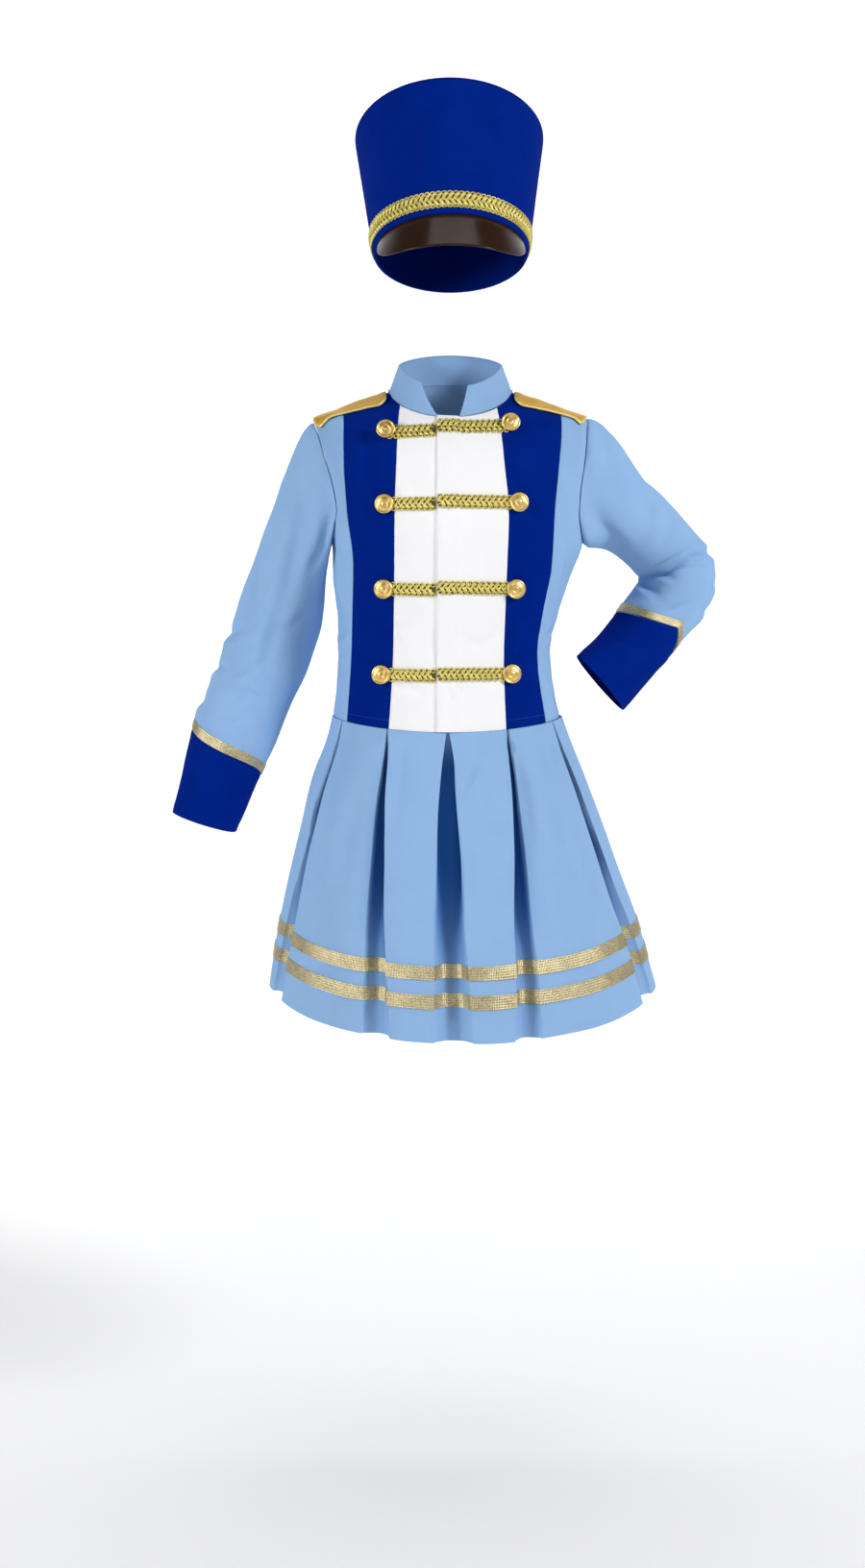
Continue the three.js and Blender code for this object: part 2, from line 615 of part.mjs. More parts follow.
function addSleeve(side) {
  const { cuffOuter, cuffInner, apex, hollow } = SLEEVES[side];
  const { surface, length } = sleeveSurface(side);
  const edge = (angle) => {
    const away = angle - radians(apex);
    const share = Math.abs(Math.atan2(Math.sin(away), Math.cos(away))) / Math.PI;
    const behind = Math.sin(away) < 0 ? hollow * Math.sin(Math.PI * share) : 0;
    return length - lerp(cuffOuter, cuffInner, share) + behind;
  };
  const ribbonTop = (angle) => edge(angle) - CUFF_RIBBON;
  const sleeveRows = SLEEVE_ROWS.map((share) => (angle) => share * ribbonTop(angle));
  sleeveRows.push(edge);
  addPiece(`sleeve_${side}`, tube(surface, sleeveRows, 0, CLOTH), LIGHT_BLUE);
  const cuffRows = steps(4).map((share) => (angle) =>
    lerp(edge(angle) + SEAM_GAP, length, share));
  addPiece(`cuff_${side}`, tube(surface, cuffRows, 0, CLOTH), ROYAL_BLUE);
  const ribbonRows = [ribbonTop, (angle) => edge(angle) - SEAM_GAP];
  addPiece(`cuff_ribbon_${side}`,
    tube(surface, ribbonRows, TRIM_LIFT + RIBBON_THICK, RIBBON_THICK), GOLD_RIBBON);
}

// Shoulder tabs, laid on the shoulder across its seam
function addTab(side) {
  const { sign } = SLEEVES[side];
  const columns = steps(8).map((share) => {
    const reachAt = (across) => lerp(TAB.neck, TAB.tip - TAB.hollow * across ** 2, share);
    const reach = reachAt(0);
    const fromEnd = Math.min((reach - TAB.neck) / TAB.round, 1);
    const wide = 0.35 + 0.65 * Math.sqrt(1 - (1 - fromEnd) ** 2);
    return [-1, -0.66, -0.33, 0, 0.33, 0.66, 1].map((across) => {
      const front = lerp(TAB.front, TAB.tipFront, share);
      const back = lerp(TAB.back, TAB.tipBack, share);
      const y = across * wide * (across < 0 ? front : back);
      const x = sign * reachAt(across);
      const drop = shoulderDrop(x, y);
      const turn = Math.abs(turnAt(x, drop));
      return [sign * (across > 0 ? Math.PI - turn : turn), drop];
    });
  });
  const lift = () => TAB.lift + TAB.thick;
  addPiece(`epaulette_${side}`, lay(body, columns, { lift, thick: TAB.thick }), GOLD_SATIN);
}

// Braid across the white front, and the buttons on its ends
function addFastening(row, number) {
  const halves = [
    { side: 'right', xs: [row.rightX, -50, -38, -26, PLACKET_X - 1], end: row.rightEnd },
    { side: 'left', xs: [PLACKET_X + 0.3, 4, 12, 28, 44, row.leftX], end: row.leftEnd },
  ];
  for (const { side, xs, end } of halves) {
    const button = row[`${side}Drop`];
    const buttonX = row[`${side}X`];
    const liftAt = (x) => (side === 'left' ? overlapLift(x) : 0) + TRIM_LIFT;
    const columns = xs.map((x) => {
      const share = Math.abs(x - PLACKET_X) / Math.abs(buttonX - PLACKET_X);
      const drop = lerp(end, button, share);
      return [-0.5, 0.5].map((across) => {
        const at = drop + across * BRAID_WIDE;
        return [turnAt(x, at), at];
      });
    });
    const lift = (turn, drop) => liftAt(body(turn, drop).x) + BRAID_THICK;
    addPiece(`braid_${number}_${side}`,
      lay(body, columns, { lift, thick: BRAID_THICK, shiftY: -SEAM_GAP / 2 }), GOLD_BRAID);
    const profile = BUTTON.map(([radius, high]) => new THREE.Vector2(radius, high));
    const turn = turnAt(buttonX, button);
    const normal = normalOf(body, turn, button);
    const facing = normal.clone().lerp(new THREE.Vector3(0, -1, 0), BUTTON_FACING).normalize();
    const clear = BUTTON_SEAT[number - 1] * BUTTON_RADIUS * Math.sin(normal.angleTo(facing));
    const mesh = addPiece(`button_${number}_${side}`, new THREE.LatheGeometry(profile, 14), GOLD_PLATE);
    mesh.quaternion.setFromUnitVectors(new THREE.Vector3(0, 1, 0), facing);
    mesh.position.copy(body(turn, button))
      .addScaledVector(normal, TRIM_LIFT + BRAID_THICK + SEAM_GAP + clear);
    mesh.position.y -= SEAM_GAP / 2;
  }
}

// Skirt
const skirtAt = reader(SKIRT, 'level');
const foldAt = reader(FOLDS, 'level');

function skirtPoint(turn, level, depth) {
  const { middle, half, front, back } = skirtAt(level);
  const square = lerp(2.2, 2, level);
  const sine = Math.sin(turn);
  const cosine = Math.cos(turn);
  const deep = cosine > 0 ? front : back;
  const flat = new THREE.Vector2(
    half * power(sine, 2 / square),
    -deep * power(cosine, 2 / square),
  );
  const shrink = 1 - depth / flat.length();
  const x = middle + flat.x * shrink;
  const waist = waistDrop(x) + SEAM_GAP + 0.1;
  const dip = cosine > 0 ? HEM.frontDip : HEM.backDip;
  const hem = HEM.sideDrop + dip * Math.abs(cosine) ** 1.3;
  return new THREE.Vector3(x, flat.y * shrink, -lerp(waist, hem, level));
}

// The ring of points round the skirt at one level, ten for each pleat: the middle of the
// panel, then down the fold, along the cloth behind the gap and up the next fold
function skirtRing(level) {
  const fold = foldAt(level);
  const { half, front } = skirtAt(level);
  const perDegree = (Math.PI * (half + front)) / 360;
  const gaps = PLEATS.map((pleat) => {
    const turn = pleat.waist + turnBetween(pleat.waist, pleat.hem) * level;
    const open = Math.max(pleat.open * 3.3 * fold.open, 0.4 / perDegree) / 3.3;
    return { turn, open, deep: fold.deep * lerp(1, pleat.deep / 15, level), tuck: fold.tuck / perDegree };
  });
  const layer = FOLD_LAYER + level * 2;
  const points = [];
  gaps.forEach((gap, q) => {
    const before = gaps[(q + gaps.length - 1) % gaps.length];
    const left = gap.turn - gap.open;
    const panelStart = before.turn + before.open;
    const panelMiddle = panelStart + turnBetween(panelStart, left) / 2;
    const reach = gap.open + gap.tuck;
    const inner = reach - (level * 4) / perDegree;
    const foldDeep = Math.max(gap.deep - 0.4 - level * 2, FOLD_LAYER);
    const shape = [
      [panelMiddle, 0], [left, 0], [left + (level * 1.2) / perDegree, layer],
      [gap.turn - reach, foldDeep], [gap.turn - inner, gap.deep],
      [gap.turn, gap.deep],
      [gap.turn + inner, gap.deep], [gap.turn + reach, foldDeep],
      [gap.turn + gap.open - (level * 1.2) / perDegree, layer], [gap.turn + gap.open, 0],
    ];
    for (const [turn, depth] of shape) points.push(skirtPoint(radians(turn), level, depth));
  });
  return points;
}

function turnBetween(from, to) {
  return ((to - from + 540) % 360) - 180;
}

// Moves a ring outwards, level by level, so that each stretch keeps its distance
function offsetRing(ring, distance) {
  const count = ring.length;
  const normals = ring.map((point, i) => {
    const next = ring[(i + 1) % count];
    return new THREE.Vector2(next.y - point.y, point.x - next.x).normalize();
  });
  return ring.map((point, i) => {
    const before = normals[(i + count - 1) % count];
    const after = normals[i];
    const scale = distance / Math.max(1 + before.dot(after), 0.6);
    return new THREE.Vector3(
      point.x + (before.x + after.x) * scale,
      point.y + (before.y + after.y) * scale,
      point.z,
    );
  });
}

function skirtGrid(rings, distance) {
  const moved = rings.map((ring) => offsetRing(ring, distance));
  return moved[0].map((_, i) => moved.map((ring) => ring[i]));
}

// Pulls the two side edges of a half skirt back along the cloth to leave the seam gap
function trimEnds(grid) {
  const pull = (edge, next) => edge.map((point, j) =>
    point.clone().add(next[j].clone().sub(point).setLength(SEAM_GAP / 2)));
  const last = grid.length - 1;
  return [pull(grid[0], grid[1]), ...grid.slice(1, last), pull(grid[last], grid[last - 1])];
}

function addSkirt() {
  const levels = FOLDS.map((fold) => fold.level);
  const rings = levels.map(skirtRing);
  const outer = skirtGrid(rings, 0);
  const inner = skirtGrid(rings, -SKIRT_CLOTH);
  const count = outer.length;
  const [left, right] = SIDE_SEAM_FOLDS.map((q) => q * 10 + 5);
  const stretch = (grid, from, to) => {
    const part = [];
    for (let i = from; i <= to; i += 1) part.push(grid[i % count]);
    return trimEnds(part);
  };
  addPiece('skirt_front',
    wall(stretch(outer, right, left + count), stretch(inner, right, left + count), false), LIGHT_BLUE);
  addPiece('skirt_back', wall(stretch(outer, left, right), stretch(inner, left, right), false), LIGHT_BLUE);

  // The ribbons lie on the flat stretch between the last two levels
  const [high, low] = rings.slice(-2);
  const length = centreOf(high).z - centreOf(low).z;
  const between = (above) => high.map((point, i) => low[i].clone().lerp(point, above / length));
  for (const { name, above } of HEM_RIBBONS) {
    const edges = [between(above + HEM_RIBBON_WIDE), between(above)];
    const face = skirtGrid(edges, HEM_RIBBON_LIFT + RIBBON_THICK);
    const under = skirtGrid(edges, HEM_RIBBON_LIFT);
    addPiece(`skirt_ribbon_${name}`, wall(face, under, true), GOLD_RIBBON);
  }
}

// Hat
function ovalPoint({ x, y, z, half, long, tilt }, turn) {
  const ahead = Math.cos(turn) * long;
  return new THREE.Vector3(
    x + Math.sin(turn) * half,
    y - ahead * Math.cos(radians(tilt)),
    z + ahead * Math.sin(radians(tilt)),
  );
}

function hatPoint(turn, height) {
  const foot = ovalPoint(HAT_FOOT, turn);
  const crown = ovalPoint(HAT_CROWN, turn);
  return foot.clone().add(crown.sub(foot).setLength(height));
}

function hatHeight(turn) {
  return ovalPoint(HAT_FOOT, turn).distanceTo(ovalPoint(HAT_CROWN, turn));
}

const HAT_TURNS = steps(HAT_ROUND).slice(0, -1).map((share) => share * 2 * Math.PI);

function hatBand(from, to, lift, thick) {
  const rings = [to, from].map((heightAt) => HAT_TURNS.map((turn) => hatPoint(turn, heightAt(turn))));
  const columnsOf = (moved) => HAT_TURNS.map((_, i) => moved.map((ring) => ring[i]));
  const outer = columnsOf(rings.map((ring) => spread(ring, lift)));
  const inner = columnsOf(rings.map((ring) => spread(ring, lift - thick)));
  return wall(outer, inner, true);
}

function addHat() {
  addPiece('hat_body', hatBand(() => 0, hatHeight, 0, HAT_WALL), ROYAL_BLUE);
  addPiece('hat_braid', hatBand(() => HAT_BRAID.from, () => HAT_BRAID.from + HAT_BRAID.wide,
    TRIM_LIFT + BRAID_THICK, BRAID_THICK), GOLD_BRAID);

  // The crown lid: a disc that lies on the wall's upper edge, a little domed
  const rim = HAT_TURNS.map((turn) => ovalPoint(HAT_CROWN, turn));
  const up = newell(rim);
  const positions = [];
  const index = [];
  const ring = (scale, high) => {
    const centre = centreOf(rim);
    const start = positions.length / 3;
    for (const point of rim) {
      const place = centre.clone().lerp(point, scale).addScaledVector(up, high);
      positions.push(place.x, place.y, place.z);
    }
    return start;
  };
  const rings = [[0.001, SEAM_GAP], [1, SEAM_GAP], [1, CROWN_THICK - 1], [0.985, CROWN_THICK],
    [0.6, CROWN_THICK + 1.5], [0.001, CROWN_THICK + 2]].map(([scale, high]) => ring(scale, high));
  const count = rim.length;
  for (let k = 0; k < rings.length - 1; k += 1) {
    for (let i = 0; i < count; i += 1) {
      const next = (i + 1) % count;
      index.push(rings[k] + i, rings[k] + next, rings[k + 1] + next);
      index.push(rings[k] + i, rings[k + 1] + next, rings[k + 1] + i);
    }
  }
  for (let i = 1; i < count - 1; i += 1) {
    index.push(rings[0], rings[0] + i + 1, rings[0] + i);
    const top = rings[rings.length - 1];
    index.push(top, top + i, top + i + 1);
  }
  const lid = new THREE.BufferGeometry();
  lid.setAttribute('position', new THREE.Float32BufferAttribute(positions, 3));
  lid.setIndex(insideOut(positions, index) ? index.reverse() : index);
  addPiece('hat_top', lid, ROYAL_BLUE);
}

// The visor leaves the foot of the hat at the front and droops forward
function visorSurface(turn, out) {
  const foot = HAT_TURNS.map((angle) => ovalPoint(HAT_FOOT, angle));
  const axis = newell(foot);
  if (axis.z < 0) axis.negate();
  const edge = ovalPoint(HAT_FOOT, turn);
  const outward = edge.clone().sub(centreOf(foot)).normalize();
  const forward = ovalPoint(HAT_FOOT, 0).sub(centreOf(foot)).normalize();
  const lean = outward.clone().add(forward).normalize();
  const share = Math.abs(turn) / radians(VISOR.turn);
  const wide = 3 + VISOR.wide * (1 - share ** VISOR.taper) ** 0.7;
  const droop = radians(VISOR.droop);
  return edge
    .addScaledVector(outward, -VISOR.setIn)
    .addScaledVector(lean, out * wide * Math.cos(droop))
    .addScaledVector(axis, -2 * SEAM_GAP - out * wide * Math.sin(droop));
}

function addVisor() {
  const limit = radians(VISOR.turn) * 0.999;
  const columns = steps(18).map((share) => [0, 0.5, 1].map((out) => [lerp(-limit, limit, share), out]));
  const normalAt = (turn, out) => {
    const across = visorSurface(turn + 0.01, out).sub(visorSurface(turn - 0.01, out));
    const down = visorSurface(turn, 1).sub(visorSurface(turn, 0));
    return down.cross(across).normalize();
  };
  const safe = (turn) => clamp(turn, -limit + 0.02, limit - 0.02);
  const moved = (depth) => columns.map((column) => column.map(([turn, out]) =>
    visorSurface(turn, out).addScaledVector(normalAt(safe(turn), out), -depth)));
  addPiece('hat_visor', wall(moved(0), moved(VISOR.thick), false), PATENT);
}

addFront();
addSide('right');
addSide('left');
addBack();
addCollar();
addSleeve('right');
addSleeve('left');
addTab('right');
addTab('left');
FASTENINGS.forEach((row, k) => addFastening(row, k + 1));
addSkirt();
addHat();
addVisor();

export default costume;
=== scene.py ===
import math
from types import SimpleNamespace as Sizes

import bmesh
import bpy
import numpy as np
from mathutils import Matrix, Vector


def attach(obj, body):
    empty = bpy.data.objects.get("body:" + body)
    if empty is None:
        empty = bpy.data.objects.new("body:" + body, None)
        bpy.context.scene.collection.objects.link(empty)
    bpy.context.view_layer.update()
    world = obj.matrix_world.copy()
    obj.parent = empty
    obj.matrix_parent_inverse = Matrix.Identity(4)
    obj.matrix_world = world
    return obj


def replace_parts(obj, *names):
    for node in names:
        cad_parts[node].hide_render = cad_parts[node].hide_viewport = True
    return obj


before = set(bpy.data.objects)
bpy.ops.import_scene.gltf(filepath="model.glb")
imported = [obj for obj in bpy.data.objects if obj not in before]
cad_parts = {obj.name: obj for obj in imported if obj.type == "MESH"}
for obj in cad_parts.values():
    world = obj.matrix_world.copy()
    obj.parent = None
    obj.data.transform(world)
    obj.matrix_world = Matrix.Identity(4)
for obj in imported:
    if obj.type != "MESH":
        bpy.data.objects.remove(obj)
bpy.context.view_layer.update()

# Camera, in metres, at the height of the wearer's chest and tilted a little down
CAMERA_PLACE = (-0.018, -2.400, -0.118)
CAMERA_TILT = 6.68
camera_data = bpy.data.cameras.new("camera")
camera_data.sensor_width = 36
camera_data.lens = 53.87
camera = bpy.data.objects.new("camera", camera_data)
camera.location = CAMERA_PLACE
camera.rotation_euler = (math.radians(90 - CAMERA_TILT), 0, 0)
bpy.context.scene.collection.objects.link(camera)
bpy.context.scene.camera = camera

# Sizes in millimetres and degrees. X runs to the wearer's left, Y to the back and Z up. A drop
# is a height counted downwards, and a turn is an angle round the body from the front middle.
MM = 0.001
CLOTH = 1.5
SKIRT_CLOTH = 1.0
SEAM_GAP = 0.3
TRIM_LIFT = 0.6
RIBBON_THICK = 0.8
OVERLAP_LIFT = 2.1
WAIST_DROP = 337
WAIST_RISE = 9
WAIST_HALF = 117
NECK_HALF = 62
NECK_FRONT_DROP = 27
NECK_FRONT_ROUND = 1.25
NECK_BACK_RISE = 10
EDGE_DROP = 0.2
PLACKET_X = -13.5
UNDERLAP_X = 2
ARMHOLE_GAP = 0.5
CAP_LENGTH = 110
SHOULDER_HALF_DEPTH = 47
CAP_PUFF = Sizes(high=6.5, rise=5, end=70)
CUFF_RIBBON = 10
DEPTH_LEAN = 0.15
COLLAR_LIFT = -0.1
COLLAR_TOP = Sizes(half=52, front=48, back=45, side_z=27, front_z=2, back_z=39)
COLLAR_ENDS = Sizes(right_foot=-12.1, right_top=-35.8, left_foot=8, left_top=19.3)
TAB = Sizes(neck=64, tip=136, hollow=7, round=10, front=26, tip_front=18, back=23, tip_back=17,
            lift=1.3, thick=2.2)
LEAST_SHEET = 0.0101
BRAID_WIDE = 12
BRAID_PITCH = 5.5
STRAND_APART = 1.75
BRAID_END = 3
FOLD_LAYER = 2.4
FULL_FOLD = 15
LEAST_OPENING = 0.4 / 3.3
HEM = Sizes(side=604, front_dip=26, back_dip=4)
HEM_RIBBONS = dict(upper=56, lower=30)
HEM_RIBBON_WIDE = 12.5
HAT_FOOT = Sizes(x=0.3, y=2, z=136, half=78, long=93, tilt=19)
HAT_CROWN = Sizes(x=-1, y=40, z=251, half=95.5, long=110, tilt=24.5)
HAT_WALL = 3
HAT_BRAID = Sizes(start=6, wide=15)
CROWN_THICK = 2.5
VISOR = Sizes(turn=66, wide=44, droop=62, thick=1.3, set_in=1.2, taper=5)


def smooth(value, start, end):
    """Goes from 0 at start to 1 at end along 3t^2 - 2t^3."""
    t = np.clip((value - start) / (end - start), 0, 1)
    return t * t * (3 - 2 * t)


def bell(value, wide):
    """A bell curve of a value: e to the minus its square, in units of its width."""
    return np.exp(-(value / wide) ** 2)


def mix(low, high, share):
    """The point that lies the share of the way from low to high."""
    return low + (high - low) * share


def power(value, exponent):
    """The size of a number to an exponent, with the number's own sign."""
    return np.sign(value) * np.abs(value) ** exponent


def unit(vectors):
    """Vectors divided by their lengths."""
    return vectors / np.maximum(np.linalg.norm(vectors, axis=-1, keepdims=True), 1e-12)


def pack(x, y, z):
    """Points from three arrays of coordinates."""
    return np.stack(np.broadcast_arrays(x, y, z), -1).astype(float)


def clustered(count, near=0.25):
    """Shares from 0 to 1 that lie closer together near both ends, by a sine of the share."""
    t = np.linspace(0, 1, count)
    return t - (1 - near) * np.sin(2 * np.pi * t) / (2 * np.pi)


def numbers(text):
    """Rows of numbers from lines of text, under a line that names the columns."""
    return np.array([line.split() for line in text.strip().split("\n")[1:]], float)


def numbers_by_heading(text):
    """Rows of numbers from lines of text, kept under the heading above them."""
    made = {}
    for line in text.strip().split("\n"):
        if line[0].isalpha():
            rows = made[line] = []
        else:
            rows.append([float(number) for number in line.split()])
    return made


def size(vectors):
    """The lengths of vectors."""
    return np.linalg.norm(vectors, axis=-1)


def circle(count):
    """Angles of one full turn in equal steps, as a column."""
    return (np.arange(count) * 2 * np.pi / count)[:, None]


def walked(line):
    """The distance walked along a line of points up to each of them."""
    return np.r_[0, np.cumsum(size(np.diff(line, axis=0)))]


def table(rows):
    """Reads the columns of a table smoothly along its first column.

    Between two rows each column is a cubic. Its slope at a row is the harmonic mean of the
    two chords there, or 0 where they differ in sign, so it never swings past its rows.
    """
    rows = numbers(rows) if isinstance(rows, str) else rows
    places, values = rows[:, 0], rows[:, 1:]
    chord = np.diff(values, axis=0) / np.diff(places)[:, None]
    slope = np.concatenate([chord[:1], chord[:-1] * 0, chord[-1:]])
    before, after = chord[:-1], chord[1:]
    same = before * after > 0
    total = np.where(same, before + after, 1)
    slope[1:-1] = np.where(same, 2 * before * after / total, 0)

    def read(place):
        place = np.asarray(place, float)
        i = np.clip(np.searchsorted(places, place) - 1, 0, len(places) - 2)
        span = (places[i + 1] - places[i])[..., None]
        t = np.clip((place[..., None] - places[i][..., None]) / span, 0, 1)
        out = (2 * t**3 - 3 * t**2 + 1) * values[i] + (t**3 - 2 * t**2 + t) * span * slope[i]
        out = out + (3 * t**2 - 2 * t**3) * values[i + 1] + (t**3 - t**2) * span * slope[i + 1]
        return np.moveaxis(out, -1, 0)

    return read


# Level sections of the bodice
torso_at = table("""
drop middle half_width front_depth back_depth squareness
-10 0 60 10 50 2
0 0 62 14 53 1.8
12 0 93 33 57 1.6
20 0.3 114 45 60 1.6
30 1 138.5 56 65 1.65
60 2.5 143 78 78 2.1
100 5 136.5 91 88 2.2
148 7.4 128 96 91 2.2
189 1.1 120 95 88 2.2
224 -2.7 112.3 92 84 2.2
260 -6.2 108.1 89 81 2.2
295 -5.5 110.5 89 82 2.2
340 -3 118 91 86 2.2
""")

# The x of the front seams at each drop
seam_at = table("""
drop right_side right_centre left_centre left_side
0 -109 -49 43 111
30 -107 -52 48.5 111
76 -105.8 -53.8 53 107.2
120 -103 -55.4 57 103
175 -97 -55.8 55.5 100.4
220 -98.3 -56.4 54 92.6
260 -99.5 -57.2 53 87.4
340 -105 -62 55.5 97.4
""")
SIDE_RIGHT, CENTRE_RIGHT, CENTRE_LEFT, SIDE_LEFT = range(4)

# How far in the armhole is cut, from its tip (level 0) to its pit (level 1)
cut_at = table("""
level in_front behind
0 1 1
0.12 0.945 0.95
0.3 0.9 0.915
0.55 0.885 0.9
0.75 0.893 0.905
0.9 0.94 0.945
1 1 1
""")

# Each side's armhole and cuff, and its sleeve's sections across the arm
SLEEVES = dict(
    right=Sizes(sign=-1, tip=31.5, pit=144, cut=1, cuff_outer=99, cuff_inner=54, apex=0, hollow=0,
                side_seam=SIDE_RIGHT, sections=numbers("""
outer_x outer_y outer_z inner_x inner_y inner_z half_depth
-154 3 -60 -123 4 -162 45
-175 8 -102 -126 10 -184 42
-194 15 -155 -129 16 -210 41
-213 20 -202 -133 20 -238 41
-229 18 -250 -144 18 -275 41
-245 12 -291 -159 12 -307 40
-263 2 -336 -176 2 -348 39
-273 -8 -382 -194 -8 -388 37
-284 -20 -425 -219 -20 -446 33
""")),
    left=Sizes(sign=1, tip=27.5, pit=153, cut=0.75, cuff_outer=106, cuff_inner=84, apex=82, hollow=38,
               side_seam=SIDE_LEFT, sections=numbers("""
outer_x outer_y outer_z inner_x inner_y inner_z half_depth
151 6 -38 141 4 -156 46
179 22 -64 158 16 -159 44
218 44 -105 178 32 -170 40
252 64 -141 194 44 -183 39
269 74 -162 200 46 -188 38
275 78 -190 200 42 -194 38
267 72 -218 195 36 -201 38
247 58 -242 185 26 -213 38
233 46 -255 171 14 -232 37
205 18 -290 151 -4 -250 36
176 -8 -322 129 -18 -266 33
""")),
)

# Buttons on both sides, and the drop at which their braid meets the placket
FASTENINGS = numbers("""
right_x right_drop right_at_placket left_x left_drop left_at_placket
-62.9 43.3 41 58.2 36.7 38
-64.1 112.9 112.5 65.8 111.5 110
-64.7 195.8 196.5 62.7 195.4 194
-67.4 280.7 281 58.9 280.2 279.5
""")

# The skirt's outline, from its waist (level 0) to its hem (level 1)
skirt_at = table("""
level middle half_width front_depth back_depth
0 -3 117.6 90.6 85.6
0.08 -1.7 124 98 92
0.25 -0.7 141 116 106
0.43 2.3 156.3 134 121
0.61 4.9 171 151 136
0.785 9.4 184.9 167 150
1 13.9 199 184 165
""")

# The gaps between the box pleats
PLEATS = numbers("""
turn_at_waist turn_at_hem half_opening depth
0 -3.4 5.6 15
28.5 18 4.2 14
63 70 5 12
90 94 5 13
117 119 5.5 15
151 149 5.5 14
180 178 6 15
209 207 5.5 15
243 240 5.5 14
270 265 5 13
297 287 5 12
331.5 333.8 4.6 14
""")

# How a fold changes from waist to hem
fold_at = table("""
level share_of_opening depth tuck
0 0.08 3 13.5
0.12 0.42 12 9
0.28 0.6 19 5
0.45 0.72 22 1
0.6 0.81 21 -3
0.75 0.88 16.5 -5.5
1 1 15 -8
""")
SIDE_SEAM_FOLDS = (3, 9)

# How far a panel's edge rolls in on the side of a gap that faces away from the middle
SOFT_EDGE = 6.5

# All creases are deepened by a factor, and cloth rolls down at its sewn edges
CREASE_DEPTH = 1.6
EDGE_ROLL = 0.45

